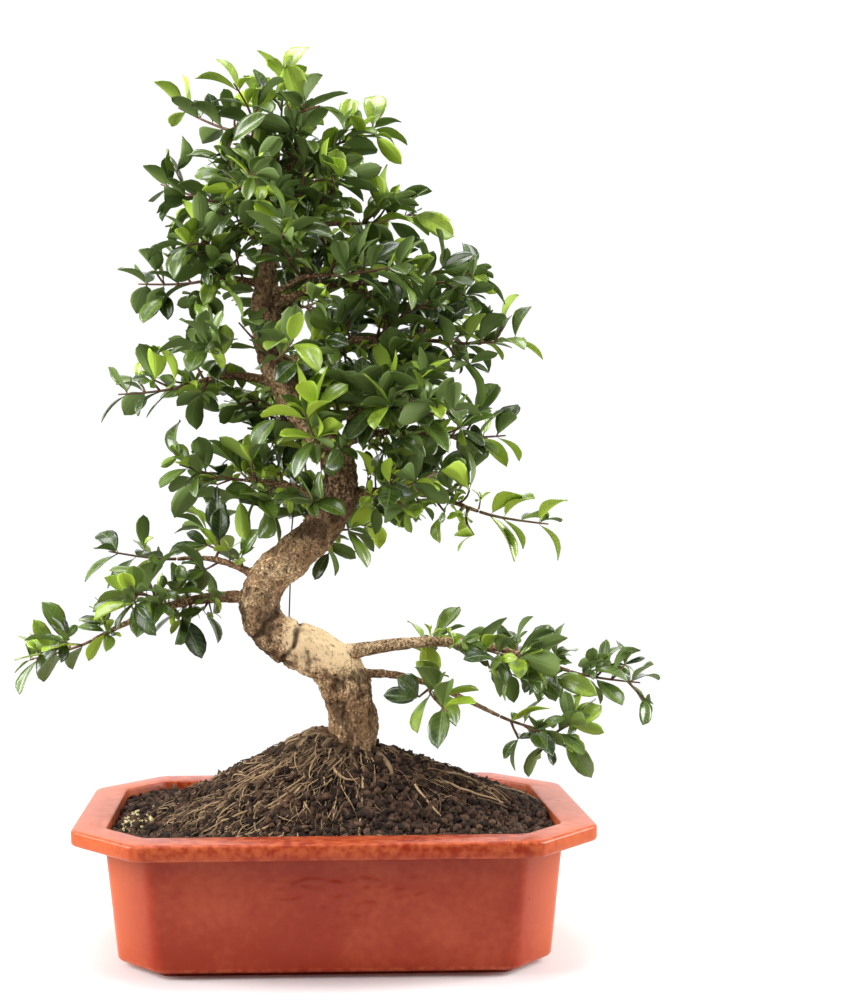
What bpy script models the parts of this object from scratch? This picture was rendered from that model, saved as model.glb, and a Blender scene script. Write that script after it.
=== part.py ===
"""A bonsai tree in a tray pot: pot, root ball, trunk with limbs, training wire and leafy shoots.

Metres, +Z up. The origin is under the middle of the pot, on the surface that it stands on.
+X runs along the pot, and +Y away from its front.
"""

import math
import random

import bmesh
import bpy
from mathutils import Vector
from mathutils.bvhtree import BVHTree

# Pot: an elongated octagon with a flat flange rim, on a low inset plinth.
POT_LENGTH = 0.262
POT_DEPTH = 0.170
POT_HEIGHT = 0.071
RIM_CORNER = 0.0345
LIP_HEIGHT = 0.008
LIP_OVERHANG = 0.0155
BODY_CORNER = 0.0225
BODY_TAPER = 0.0064
WALL = 0.0020
FLOOR_TOP = 0.007
PLINTH_HEIGHT = 0.003
PLINTH_INSET = 0.007
EDGE_ROUND = 0.0008
DRAIN_RADIUS = 0.006
DRAIN_SPACING = 0.110
DRAIN_SIDES = 20
DRAIN_OVERRUN = 0.01

# Gap kept between pieces that touch, and the shortest edge left after a cut or a union.
GAP = 0.0003
SHORTEST_EDGE = 0.00005

# Root ball: level at the walls and mounded up to the trunk.
SOIL_EDGE = 0.066
MOUND_TOP = 0.105
MOUND_CENTRE = Vector((0.010, 0.0))
MOUND_REACH_X = 0.112
MOUND_REACH_Y = 0.062
# The mound's shoulder on the left of the trunk, over the spreading roots.
SHOULDER_X = -0.006
SHOULDER_HEIGHT = 0.0085
SHOULDER_LEFT = 0.052
SHOULDER_RIGHT = 0.016
SHOULDER_DEPTH = 0.030
SOIL_RINGS = (1.0, 0.86, 0.72, 0.58, 0.46, 0.34, 0.24, 0.15)
SOIL_EDGE_STEPS = 3

# Trunk: the stations of its bends, each x, y, z and radius.
TRUNK_STATIONS = (
    (0.010, 0.000, 0.074, 0.0152),
    (0.012, 0.000, 0.118, 0.0130),
    (0.002, -0.003, 0.146, 0.0132),
    (-0.032, -0.002, 0.165, 0.0120),
    (-0.033, 0.003, 0.190, 0.0116),
    (0.000, 0.002, 0.222, 0.0107),
    (0.006, -0.005, 0.252, 0.0098),
    (-0.020, -0.003, 0.290, 0.0076),
    (-0.032, 0.002, 0.324, 0.0084),
    (-0.030, 0.000, 0.358, 0.0050),
    (-0.024, 0.000, 0.420, 0.0013),
)
TRUNK_SIDES = 10
TRUNK_STEP = 0.0085

# Crown outline: how far leaves reach from its middle at each height, and how far it leans left.
CROWN_HEIGHTS = (0.15, 0.20, 0.26, 0.31, 0.35, 0.39, 0.43, 0.47)
CROWN_REACHES = (0.172, 0.130, 0.120, 0.118, 0.100, 0.080, 0.062, 0.038)
CROWN_LEAN_FROM = 0.32
CROWN_LEAN = -0.27
CROWN_DEPTH_RATIO = 0.72

# Limbs: name, height on the trunk, heading (0 is +X, 90 is the back), rise, fullness, radius.
LIMBS = (
    ("low_left", 0.182, 181, -0.022, 1.03, 0.0044),
    ("low_left_upper", 0.190, 166, 0.012, 0.98, 0.0030),
    ("low_right", 0.150, 3, -0.010, 1.00, 0.0050),
    ("low_right_under", 0.140, -16, -0.020, 0.78, 0.0032),
    ("low_back", 0.208, 80, 0.012, 0.72, 0.0034),
    ("mid_left", 0.228, 192, 0.016, 0.72, 0.0040),
    ("mid_right", 0.234, -3, -0.008, 0.98, 0.0036),
    ("mid_front", 0.246, 262, 0.014, 0.62, 0.0032),
    ("mid_back_left", 0.262, 125, 0.014, 0.85, 0.0034),
    ("mid_right_upper", 0.260, -12, 0.006, 0.86, 0.0034),
    ("mid_front_right", 0.270, 312, 0.006, 0.85, 0.0030),
    ("mid_back_right", 0.280, 52, 0.012, 0.90, 0.0032),
    ("left_spread", 0.294, 184, 0.000, 1.00, 0.0034),
    ("front_left", 0.300, 232, 0.006, 0.72, 0.0028),
    ("right_spread", 0.304, 4, 0.012, 0.97, 0.0032),
    ("upper_back", 0.326, 98, 0.014, 0.85, 0.0030),
    ("upper_right", 0.334, -6, 0.012, 0.90, 0.0030),
    ("upper_front", 0.340, 285, 0.008, 0.80, 0.0026),
    ("upper_left", 0.346, 178, 0.004, 1.00, 0.0030),
    ("crown_right", 0.366, 8, 0.014, 0.87, 0.0024),
    ("crown_front", 0.374, 245, 0.010, 0.85, 0.0022),
    ("crown_back", 0.384, 75, 0.014, 0.90, 0.0022),
    ("crown_left", 0.378, 176, 0.014, 1.00, 0.0024),
    ("top_right", 0.404, -10, 0.014, 1.00, 0.0018),
    ("top_left", 0.414, 168, 0.016, 1.00, 0.0017),
)
LIMB_SIDES = 6
LIMB_STEPS = 7
LIMB_TIP_RADIUS = 0.0013
LIMB_ARCH = 0.09
LIMB_WANDER = 0.05

# Shoots: a young twig with whorls of leaves, at each limb's tip and along its side.
SHOOT_REACH = 0.043
SHOOT_LENGTH = 0.036
SHOOT_RADIUS = 0.0009
SHOOT_SIDES = 5
SHOOT_SEATS = (1.0, 0.58)
# Side shoots rise a little on most limbs, and hang nearly level on the lowest ones.
SHOOT_LIFT = 0.30
LOW_SHOOT_LIFT = -0.04
LOW_SHOOTS_BELOW = 0.168
LONG_LIMB = 0.093
LONG_LIMB_SEATS = (1.0, 0.80, 0.60, 0.42)
SHOOT_TURNS = (0, 35, -35, 70, -70, 110)
WHORLS = (0.24, 0.46, 0.68, 0.90)
WHORL_LEAVES = (2, 2, 2, 3)
NODE_HALF = 0.0007
LEAF_LENGTH = (0.017, 0.026)
LEAF_WIDTH_RATIO = 0.48
LEAF_THICKNESS = 0.0009
LEAF_BROAD = 0.64
LEAF_TIP_RATIO = 0.42
LEAF_DROOP = 0.10
LEAF_CLEARANCE = 0.0004
BLADE_START = 0.30
LEAF_SEED = 4100

# Training wire: one taut strand, from a limb down behind the trunk to its lower stretch.
WIRE_LIMB = "mid_left"
WIRE_LIMB_STEP = 3
WIRE_BACK = ((-0.0195, 0.0165, 0.213), (-0.0200, 0.0150, 0.194))
WIRE_FOOT = (-0.0215, 0.000, 0.160)
WIRE_RADIUS = 0.0004
WIRE_SIDES = 6
WIRE_END_GAP = 0.0009

# Finishes: colour, roughness and metallic value.
FINISHES = {
    "terracotta_plastic": ((0.42, 0.075, 0.032), 0.38, 0.0),
    "peat": ((0.035, 0.020, 0.012), 0.95, 0.0),
    "bark": ((0.42, 0.30, 0.18), 0.85, 0.0),
    "dark_wire": ((0.03, 0.025, 0.02), 0.50, 0.4),
    "leaf_green": ((0.035, 0.13, 0.025), 0.35, 0.0),
}


def clear_scene():
    """Start from an empty scene."""
    for old in list(bpy.data.objects):
        bpy.data.objects.remove(old, do_unlink=True)


def finish(name, label):
    """A material of its own for one sub-part, with the look of a named finish."""
    colour, roughness, metallic = FINISHES[label]
    material = bpy.data.materials.new(f"{name}_{label}")
    material.use_nodes = True
    shader = material.node_tree.nodes["Principled BSDF"]
    shader.inputs["Base Color"].default_value = (*colour, 1.0)
    shader.inputs["Roughness"].default_value = roughness
    shader.inputs["Metallic"].default_value = metallic
    return material


def add_object(name, mesh_data, label):
    """Put a bmesh into the scene as a named, smooth-shaded object, and free the bmesh."""
    bmesh.ops.recalc_face_normals(mesh_data, faces=mesh_data.faces)
    bmesh.ops.triangulate(mesh_data, faces=mesh_data.faces)
    mesh = bpy.data.meshes.new(name)
    mesh_data.to_mesh(mesh)
    mesh_data.free()
    mesh.materials.append(finish(name, label))
    mesh.shade_smooth()
    mesh.set_sharp_from_angle(angle=math.radians(35))
    item = bpy.data.objects.new(name, mesh)
    bpy.context.scene.collection.objects.link(item)
    return item


def combine(target, tool, operation):
    """Apply an exact Boolean to target with tool, and remove the tool."""
    cut = target.modifiers.new("combine", "BOOLEAN")
    cut.operation = operation
    cut.solver = "EXACT"
    cut.object = tool
    bpy.context.view_layer.update()
    evaluated = target.evaluated_get(bpy.context.evaluated_depsgraph_get())
    mesh = bpy.data.meshes.new_from_object(evaluated)
    target.modifiers.clear()
    target.data = mesh
    tidy = bmesh.new()
    tidy.from_mesh(mesh)
    bmesh.ops.remove_doubles(tidy, verts=tidy.verts, dist=SHORTEST_EDGE)
    bmesh.ops.dissolve_degenerate(tidy, edges=tidy.edges, dist=SHORTEST_EDGE)
    bmesh.ops.triangulate(tidy, faces=tidy.faces)
    tidy.to_mesh(mesh)
    tidy.free()
    bpy.data.objects.remove(tool, do_unlink=True)


def surface_tree(item):
    """A tree of an object's faces, for testing whether something crosses them."""
    mesh = item.data
    points = [vertex.co.copy() for vertex in mesh.vertices]
    faces = [tuple(face.vertices) for face in mesh.polygons]
    return BVHTree.FromPolygons(points, faces)


# Pot and root ball

def octagon(half_x, half_y, corner, height, steps=1):
    """Points round a rectangle with cut corners, with each edge divided into steps."""
    corners = (
        (half_x, -half_y + corner), (half_x, half_y - corner),
        (half_x - corner, half_y), (-half_x + corner, half_y),
        (-half_x, half_y - corner), (-half_x, -half_y + corner),
        (-half_x + corner, -half_y), (half_x - corner, -half_y),
    )
    points = []
    for index, start in enumerate(corners):
        end = corners[(index + 1) % len(corners)]
        for step in range(steps):
            part = step / steps
            x = start[0] + (end[0] - start[0]) * part
            y = start[1] + (end[1] - start[1]) * part
            points.append(Vector((x, y, height)))
    return points


def stack_loops(mesh_data, loops):
    """Bridge a stack of equal loops with quads, and close the first and the last."""
    rings = [[mesh_data.verts.new(point) for point in loop] for loop in loops]
    count = len(rings[0])
    for lower, upper in zip(rings, rings[1:]):
        for i in range(count):
            j = (i + 1) % count
            mesh_data.faces.new((lower[i], lower[j], upper[j], upper[i]))
    mesh_data.faces.new(list(reversed(rings[0])))
    mesh_data.faces.new(rings[-1])
    return rings


def body_size(height):
    """Half length, half depth and corner of the pot's outer wall at a height."""
    share = (height - PLINTH_HEIGHT) / (POT_HEIGHT - PLINTH_HEIGHT)
    inset = LIP_OVERHANG + BODY_TAPER * (1 - share)
    return POT_LENGTH / 2 - inset, POT_DEPTH / 2 - inset, BODY_CORNER


def inset_octagon(size, inset, height, steps=1):
    """An octagon set in from a given size by the same distance on every side."""
    half_x, half_y, corner = size
    corner_inset = corner - inset * (2 - math.sqrt(2))
    return octagon(half_x - inset, half_y - inset, corner_inset, height, steps)


def build_pot():
    """The moulded tray, with its flange rim, plinth and two drain holes."""
    rim = (POT_LENGTH / 2, POT_DEPTH / 2, RIM_CORNER)
    low = body_size(PLINTH_HEIGHT)
    lip_under = POT_HEIGHT - LIP_HEIGHT
    loops = (
        inset_octagon(low, PLINTH_INSET, 0),
        inset_octagon(low, PLINTH_INSET, PLINTH_HEIGHT),
        inset_octagon(low, 0, PLINTH_HEIGHT),
        inset_octagon(body_size(lip_under), 0, lip_under),
        inset_octagon(rim, EDGE_ROUND, lip_under),
        inset_octagon(rim, 0, lip_under + EDGE_ROUND),
        inset_octagon(rim, 0, POT_HEIGHT - EDGE_ROUND),
        inset_octagon(rim, EDGE_ROUND, POT_HEIGHT),
        inset_octagon(body_size(POT_HEIGHT), WALL, POT_HEIGHT),
        inset_octagon(body_size(FLOOR_TOP), WALL, FLOOR_TOP),
    )
    shape = bmesh.new()
    stack_loops(shape, loops)
    pot = add_object("pot", shape, "terracotta_plastic")
    for side in (-1, 1):
        middle = Vector((side * DRAIN_SPACING / 2, 0, 0))
        ends = [middle + Vector((0, 0, -DRAIN_OVERRUN)), middle + Vector((0, 0, FLOOR_TOP + DRAIN_OVERRUN))]
        hole = add_tube("drain_hole", ends, [DRAIN_RADIUS] * 2, DRAIN_SIDES, "terracotta_plastic")
        combine(pot, hole, "DIFFERENCE")
    return pot


def mound_height(x, y):
    """Height of the root ball's surface: a rounded cone over a level edge."""
    across = (x - MOUND_CENTRE.x) / MOUND_REACH_X
    along = (y - MOUND_CENTRE.y) / MOUND_REACH_Y
    away = min(1.0, math.hypot(across, along))
    rounded = math.sqrt(away * away + 0.02) - math.sqrt(0.02)
    ripple = 0.0008 * math.sin(90 * x + 1.3) * math.cos(140 * y)
    reach = SHOULDER_LEFT if x < SHOULDER_X else SHOULDER_RIGHT
    beside = math.hypot((x - SHOULDER_X) / reach, y / SHOULDER_DEPTH)
    shoulder = SHOULDER_HEIGHT * math.exp(-beside * beside)
    return SOIL_EDGE + (MOUND_TOP - SOIL_EDGE) * max(0.0, 1 - rounded / 0.87) + ripple + shoulder


def build_soil():
    """The root ball: it fills the tray and rises to the trunk."""
    bottom = FLOOR_TOP + GAP
    steps = SOIL_EDGE_STEPS
    loops = [inset_octagon(body_size(bottom), WALL + GAP, bottom, steps)]
    edge = inset_octagon(body_size(SOIL_EDGE), WALL + GAP, SOIL_EDGE, steps)
    for share in SOIL_RINGS:
        ring = []
        for point in edge:
            x = MOUND_CENTRE.x * (1 - share) + point.x * share
            y = MOUND_CENTRE.y * (1 - share) + point.y * share
            ring.append(Vector((x, y, mound_height(x, y))))
        loops.append(ring)
    shape = bmesh.new()
    rings = stack_loops(shape, loops)
    last = next(face for face in shape.faces if set(face.verts) == set(rings[-1]))
    centre = Vector((MOUND_CENTRE.x, MOUND_CENTRE.y, mound_height(*MOUND_CENTRE)))
    bmesh.ops.poke(shape, faces=[last])
    shape.verts.ensure_lookup_table()
    shape.verts[-1].co = centre
    return add_object("soil", shape, "peat")


# Wood

def curve_through(stations, step):
    """Points and radii about a step apart on a Catmull-Rom curve through x, y, z, radius rows."""
    rows = [Vector(row) for row in stations]
    rows = [rows[0] * 2 - rows[1]] + rows + [rows[-1] * 2 - rows[-2]]
    fine = []
    for a, b, c, d in zip(rows, rows[1:], rows[2:], rows[3:]):
        for i in range(24):
            t = i / 24
            fine.append(0.5 * ((2 * b) + (c - a) * t + (2 * a - 5 * b + 4 * c - d) * t * t
                               + (3 * b - a - 3 * c + d) * t * t * t))
    fine.append(rows[-2])
    travelled = [0.0]
    for a, b in zip(fine, fine[1:]):
        travelled.append(travelled[-1] + (b.xyz - a.xyz).length)
    count = max(2, round(travelled[-1] / step))
    points = []
    radii = []
    index = 0
    for k in range(count + 1):
        wanted = travelled[-1] * k / count
        while index < len(fine) - 2 and travelled[index + 1] < wanted:
            index += 1
        span = travelled[index + 1] - travelled[index]
        row = fine[index].lerp(fine[index + 1], min(1.0, (wanted - travelled[index]) / span))
        points.append(row.xyz)
        radii.append(row.w)
    return points, radii


def tube_loops(points, radii, sides):
    """Rings of points round a path, turned as little as possible from one to the next."""
    loops = []
    across = None
    for i, point in enumerate(points):
        before = points[max(0, i - 1)]
        after = points[min(len(points) - 1, i + 1)]
        along = (after - before).normalized()
        if across is None:
            across = along.cross(Vector((0.3, 1.0, 0.2))).normalized()
        across = (across - along * across.dot(along)).normalized()
        other = along.cross(across)
        loop = []
        for k in range(sides):
            angle = 2 * math.pi * k / sides
            loop.append(point + (across * math.cos(angle) + other * math.sin(angle)) * radii[i])
        loops.append(loop)
    return loops


def add_tube(name, points, radii, sides, label):
    """A closed tapering tube as an object."""
    shape = bmesh.new()
    stack_loops(shape, tube_loops(points, radii, sides))
    return add_object(name, shape, label)


def trunk_centre(height):
    """The trunk's middle at a height."""
    points, _ = curve_through(TRUNK_STATIONS, 0.002)
    return min(points, key=lambda point: abs(point.z - height)).copy()


def between(value, places, amounts):
    """Linear reading of a short list of amounts."""
    if value <= places[0]:
        return amounts[0]
    for i in range(len(places) - 1):
        if value <= places[i + 1]:
            share = (value - places[i]) / (places[i + 1] - places[i])
            return amounts[i] + (amounts[i + 1] - amounts[i]) * share
    return amounts[-1]


def crown_edge(height, heading, fullness):
    """Where a limb ends: a shoot's reach inside the crown's outline."""
    reach = max(0.012, between(height, CROWN_HEIGHTS, CROWN_REACHES) * fullness - SHOOT_REACH)
    middle = min(0.0, (height - CROWN_LEAN_FROM) * CROWN_LEAN)
    angle = math.radians(heading)
    return Vector((middle + reach * math.cos(angle), reach * CROWN_DEPTH_RATIO * math.sin(angle), height))


def limb_path(index, row):
    """Points and radii of one limb, from inside the trunk to its tip."""
    _, height, heading, rise, fullness, radius = row
    start = trunk_centre(height)
    end = crown_edge(height + rise, heading, fullness)
    run = end - start
    sideways = Vector((-run.y, run.x, 0)).normalized()
    turn = 1 if index % 2 else -1
    points = []
    radii = []
    for k in range(LIMB_STEPS + 1):
        t = k / LIMB_STEPS
        arch = run.length * LIMB_ARCH * math.sin(math.pi * t)
        wander = run.length * LIMB_WANDER * turn * math.sin(2 * math.pi * t)
        points.append(start + run * t + Vector((0, 0, arch)) + sideways * wander)
        radii.append(radius + (LIMB_TIP_RADIUS - radius) * t ** 0.8)
    return points, radii


def build_trunk():
    """Trunk and limbs, which grew as one piece."""
    points, radii = curve_through(TRUNK_STATIONS, TRUNK_STEP)
    trunk = add_tube("trunk", points, radii, TRUNK_SIDES, "bark")
    for index, row in enumerate(LIMBS):
        path, thickness = limb_path(index, row)
        combine(trunk, add_tube("limb", path, thickness, LIMB_SIDES, "bark"), "UNION")
    return trunk


def cut_trunk_socket(soil):
    """Open the root ball round the trunk's foot, with the usual gap."""
    points, radii = curve_through(TRUNK_STATIONS, TRUNK_STEP)
    foot = [point for point in points if point.z < MOUND_TOP + 0.018]
    sizes = [radius + GAP * 1.1 for radius in radii[:len(foot)]]
    down = (foot[0] - foot[1]).normalized()
    foot[0] = foot[0] + down * GAP
    combine(soil, add_tube("socket", foot, sizes, TRUNK_SIDES, "peat"), "DIFFERENCE")


# Shoots

def shoot_path(base, out, toward):
    """A twig's middle line: straight out of its seat, then bending to its heading."""
    knee = base + out * SHOOT_LENGTH * 0.30
    tip = knee + toward * SHOOT_LENGTH * 0.72
    places = [0.0]
    for whorl in WHORLS:
        half = NODE_HALF / SHOOT_LENGTH
        places += [whorl - half, whorl + half]
    places.append(1.0)
    points = []
    radii = []
    for t in places:
        points.append(base * (1 - t) ** 2 + knee * 2 * t * (1 - t) + tip * t * t)
        radii.append(SHOOT_RADIUS * (1 - 0.45 * t))
    return points, radii


def leaf_sections(root, along, side, length, width, extra=0.0):
    """The broad and the tip section of a leaf, as corners round its axis."""
    up = side.cross(along).normalized()
    middle = sum(root, Vector()) / len(root)
    sections = []
    for share, ratio, droop in ((LEAF_BROAD, 1.0, 0.0), (1.0, LEAF_TIP_RATIO, LEAF_DROOP)):
        centre = middle + along * length * share - Vector((0, 0, 1)) * length * droop
        half = width * ratio / 2 + extra
        thick = LEAF_THICKNESS / 2 + extra
        sections.append([centre + side * half - up * thick, centre - side * half - up * thick,
                         centre - side * half + up * thick, centre + side * half + up * thick])
    return sections


def match_corners(root, section):
    """The turn of a section's corners that twists it least from the root."""
    root_middle = sum(root, Vector()) / 4
    middle = sum(section, Vector()) / 4

    def fit(turn):
        return sum((corner - root_middle).normalized().dot((section[(i + turn) % 4] - middle).normalized())
                   for i, corner in enumerate(root))

    return max(range(4), key=fit)


def twist_between(root, section, along):
    """The signed angle from the root's first edge to the section's, seen along the leaf."""
    first = root[1] - root[0]
    second = section[1] - section[0]
    first = first - along * first.dot(along)
    second = second - along * second.dot(along)
    return math.atan2(along.dot(first.cross(second)), first.dot(second))


def band_faces(lower, upper, twist):
    """Triangles between two four-cornered loops, split so that a twisted side bulges outwards."""
    faces = []
    for i in range(4):
        j = (i + 1) % 4
        if twist > 0:
            faces += [(lower[i], lower[j], upper[i]), (lower[j], upper[j], upper[i])]
        else:
            faces += [(lower[i], lower[j], upper[j]), (lower[i], upper[j], upper[i])]
    return faces


def prism_tree(loops, twist):
    """A tree of the closed solid through three four-cornered loops."""
    points = [point for loop in loops for point in loop]
    near, middle, far = (0, 1, 2, 3), (4, 5, 6, 7), (8, 9, 10, 11)
    faces = band_faces(near, middle, twist) + band_faces(middle, far, 0)
    faces += [(0, 1, 2), (0, 2, 3), (8, 10, 9), (8, 11, 10)]
    return BVHTree.FromPolygons(points, faces)


def leaf_trees(root, padded, twist):
    """Trees of a leaf's whole solid and of its blade alone, both a little oversize."""
    start = [a.lerp(b, BLADE_START) for a, b in zip(root, padded[0])]
    return prism_tree((root, *padded), twist), prism_tree((start, *padded), twist)


def leaf_candidates(loops, points, random_source):
    """Leaf roots, directions and sizes on a twig's whorls."""
    candidates = []
    for whorl, leaves in enumerate(WHORL_LEAVES):
        lower, upper = loops[1 + 2 * whorl], loops[2 + 2 * whorl]
        along = (points[2 + 2 * whorl] - points[1 + 2 * whorl]).normalized()
        first = random_source.randrange(SHOOT_SIDES)
        for k in range(leaves):
            side_index = (first + k * 2) % SHOOT_SIDES
            nxt = (side_index + 1) % SHOOT_SIDES
            root = [lower[side_index], lower[nxt], upper[nxt], upper[side_index]]
            middle = sum(root, Vector()) / 4
            out = (middle - (points[1 + 2 * whorl] + points[2 + 2 * whorl]) / 2).normalized()
            lean = random_source.uniform(0.45, 0.80)
            lift = Vector((0, 0, random_source.uniform(0.05, 0.35)))
            direction = (out * 0.85 + along * lean + lift).normalized()
            flat = direction.cross(Vector((0, 0, 1)))
            if flat.length < 0.2:
                flat = direction.cross(along)
            flat.normalize()
            roll = random_source.uniform(-0.45, 0.45)
            side = (flat * math.cos(roll) + direction.cross(flat) * math.sin(roll)).normalized()
            length = random_source.uniform(*LEAF_LENGTH)
            candidates.append((whorl, side_index, root, direction, side, length))
    return candidates


def shoot_seat(path, radii, seat, side_sign):
    """Where a shoot starts on its limb, the way out of the wood, and its heading."""
    if seat >= 1.0:
        along = (path[-1] - path[-2]).normalized()
        return path[-1] + along * GAP, along, (along + Vector((0, 0, 0.25))).normalized()
    place = seat * LIMB_STEPS
    index = int(place)
    share = place - index
    middle = path[index].lerp(path[index + 1], share)
    radius = radii[index] + (radii[index + 1] - radii[index]) * share
    along = (path[index + 1] - path[index]).normalized()
    level = Vector((-along.y, along.x, 0)).normalized() * side_sign
    lift = LOW_SHOOT_LIFT if middle.z < LOW_SHOOTS_BELOW else SHOOT_LIFT
    out = (level * 0.75 + Vector((0, 0, lift * 2.2))).normalized()
    out = (out - along * out.dot(along)).normalized()
    toward = (level * 0.7 + along * 0.7 + Vector((0, 0, lift))).normalized()
    return middle + out * (radius + GAP), out, toward


def turned(direction, degrees):
    """A direction turned about the vertical."""
    angle = math.radians(degrees)
    x = direction.x * math.cos(angle) - direction.y * math.sin(angle)
    y = direction.x * math.sin(angle) + direction.y * math.cos(angle)
    return Vector((x, y, direction.z))


def grow_shoot(name, base, out, toward, seed, obstacles):
    """A twig and its leaves as one closed body, or None where there is no room."""
    for turn in SHOOT_TURNS:
        points, radii = shoot_path(base, out, turned(toward, turn))
        loops = tube_loops(points, radii, SHOOT_SIDES)
        shape = bmesh.new()
        rings = stack_loops(shape, loops)
        twig = BVHTree.FromBMesh(shape)
        if not any(twig.overlap(tree) for tree in obstacles):
            break
        shape.free()
    else:
        return None
    kept = []
    candidates = leaf_candidates(loops, points, random.Random(seed))
    for whorl, side_index, root, direction, side, length in candidates:
        width = length * LEAF_WIDTH_RATIO
        sections = leaf_sections(root, direction, side, length, width)
        padded = leaf_sections(root, direction, side, length, width, LEAF_CLEARANCE)
        turn = match_corners(root, sections[0])
        sections = [section[turn:] + section[:turn] for section in sections]
        padded = [section[turn:] + section[:turn] for section in padded]
        twist = twist_between(root, sections[0], direction)
        whole, blade = leaf_trees(root, padded, twist)
        if blade.overlap(twig) or any(whole.overlap(tree) for tree in obstacles):
            continue
        if any(blade.overlap(other_whole) or whole.overlap(other_blade) for other_whole, other_blade in kept):
            continue
        kept.append((whole, blade))
        lower, upper = rings[1 + 2 * whorl], rings[2 + 2 * whorl]
        nxt = (side_index + 1) % SHOOT_SIDES
        corners = [lower[side_index], lower[nxt], upper[nxt], upper[side_index]]
        shape.faces.remove(next(face for face in shape.faces if set(face.verts) == set(corners)))
        for section, turning in zip(sections, (twist, 0)):
            fresh = [shape.verts.new(point) for point in section]
            for triangle in band_faces(corners, fresh, turning):
                shape.faces.new(triangle)
            corners = fresh
        shape.faces.new(corners)
    if len(kept) < 2:
        shape.free()
        return None
    return add_object(name, shape, "leaf_green")


def build_shoots(obstacles):
    """Shoots at the tip and on the sides of each limb, and one on the leader."""
    seats = []
    for index, row in enumerate(LIMBS):
        path, radii = limb_path(index, row)
        places = LONG_LIMB_SEATS if (path[-1] - path[0]).length > LONG_LIMB else SHOOT_SEATS
        for number, seat in enumerate(places):
            side_sign = 1 if (index + number) % 2 else -1
            seats.append((f"shoot_{row[0]}_{number + 1}", *shoot_seat(path, radii, seat, side_sign)))
    points, _ = curve_through(TRUNK_STATIONS, TRUNK_STEP)
    leader = (points[-1] - points[-2]).normalized()
    seats.append(("shoot_leader", points[-1] + leader * GAP, leader, leader))
    for number, (name, base, out, toward) in enumerate(seats):
        shoot = grow_shoot(name, base, out, toward, LEAF_SEED + number, obstacles)
        if shoot:
            obstacles.append(surface_tree(shoot))


def wire_end(wood, start, aim):
    """The point just short of the wood on the straight way from start to aim."""
    along = (aim - start).normalized()
    hit, _, _, _ = wood.ray_cast(start, along)
    if hit is None:
        raise ValueError("the training wire's end meets no wood")
    return hit - along * WIRE_END_GAP


def build_wire(trunk):
    """The taut training strand, held by the wood at both ends."""
    wood = surface_tree(trunk)
    back = [Vector(point) for point in WIRE_BACK]
    index = [row[0] for row in LIMBS].index(WIRE_LIMB)
    path, _ = limb_path(index, LIMBS[index])
    top = wire_end(wood, back[0], path[WIRE_LIMB_STEP])
    foot = wire_end(wood, back[1], Vector(WIRE_FOOT))
    route = [top, *back, foot]
    return add_tube("training_wire", route, [WIRE_RADIUS] * len(route), WIRE_SIDES, "dark_wire")


def main():
    clear_scene()
    pot = build_pot()
    soil = build_soil()
    cut_trunk_socket(soil)
    trunk = build_trunk()
    wire = build_wire(trunk)
    build_shoots([surface_tree(item) for item in (pot, soil, trunk, wire)])


main()
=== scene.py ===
"""Finish of a bonsai tree in a tray pot: bark, leaves, soil with its roots, moulded pot and studio."""

import math
import random
from itertools import accumulate

import bmesh
import bpy
import numpy as np
from bpy.props import FloatProperty, FloatVectorProperty, IntProperty, PointerProperty
from mathutils import Matrix, Vector, noise
from mathutils.bvhtree import BVHTree


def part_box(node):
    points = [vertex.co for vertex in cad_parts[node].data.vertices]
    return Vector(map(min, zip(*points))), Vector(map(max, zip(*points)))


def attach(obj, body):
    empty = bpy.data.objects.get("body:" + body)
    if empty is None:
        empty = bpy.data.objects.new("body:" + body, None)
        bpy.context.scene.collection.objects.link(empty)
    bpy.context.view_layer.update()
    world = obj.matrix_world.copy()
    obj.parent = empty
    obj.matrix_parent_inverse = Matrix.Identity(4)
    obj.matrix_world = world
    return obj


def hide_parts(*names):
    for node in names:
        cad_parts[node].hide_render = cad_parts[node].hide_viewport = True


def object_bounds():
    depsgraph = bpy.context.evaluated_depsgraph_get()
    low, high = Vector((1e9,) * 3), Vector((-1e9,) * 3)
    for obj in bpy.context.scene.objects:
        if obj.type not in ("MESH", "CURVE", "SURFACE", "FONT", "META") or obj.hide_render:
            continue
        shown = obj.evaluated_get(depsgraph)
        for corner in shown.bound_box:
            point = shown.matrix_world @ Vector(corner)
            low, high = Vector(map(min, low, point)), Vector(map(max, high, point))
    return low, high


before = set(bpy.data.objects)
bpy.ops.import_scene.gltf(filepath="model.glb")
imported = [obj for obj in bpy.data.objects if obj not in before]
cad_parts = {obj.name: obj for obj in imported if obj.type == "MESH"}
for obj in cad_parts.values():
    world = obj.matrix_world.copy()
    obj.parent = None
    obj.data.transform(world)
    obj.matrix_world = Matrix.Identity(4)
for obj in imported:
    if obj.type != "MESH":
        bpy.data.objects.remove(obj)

bl_info = {
    "name": "Bonsai Tree in a Tray Pot",
    "version": (1, 0, 0),
    "blender": (4, 5, 0),
    "location": "View3D > Sidebar > Bonsai",
    "description": "Finishes a potted bonsai: pot, root ball, wood, training wire, leaves and studio",
    "category": "Add Mesh",
}

UP = Vector((0, 0, 1))
CAD_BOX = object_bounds()
POT_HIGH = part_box("pot")[1]
SHOOTS = sorted(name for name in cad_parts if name.startswith("shoot_"))

# How much of a shoot is new, pale growth, for the shoots that carry the brightest leaves.
YOUNG_SHOOTS = {
    "shoot_leader": 0.95,
    "shoot_top_right_1": 0.70,
    "shoot_mid_front_1": 0.75,
    "shoot_front_left_1": 0.45,
    "shoot_mid_front_right_2": 0.40,
    "shoot_low_right_4": 0.55,
    "shoot_low_right_3": 0.25,
    "shoot_mid_right_1": 0.30,
}


# Settings

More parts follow.
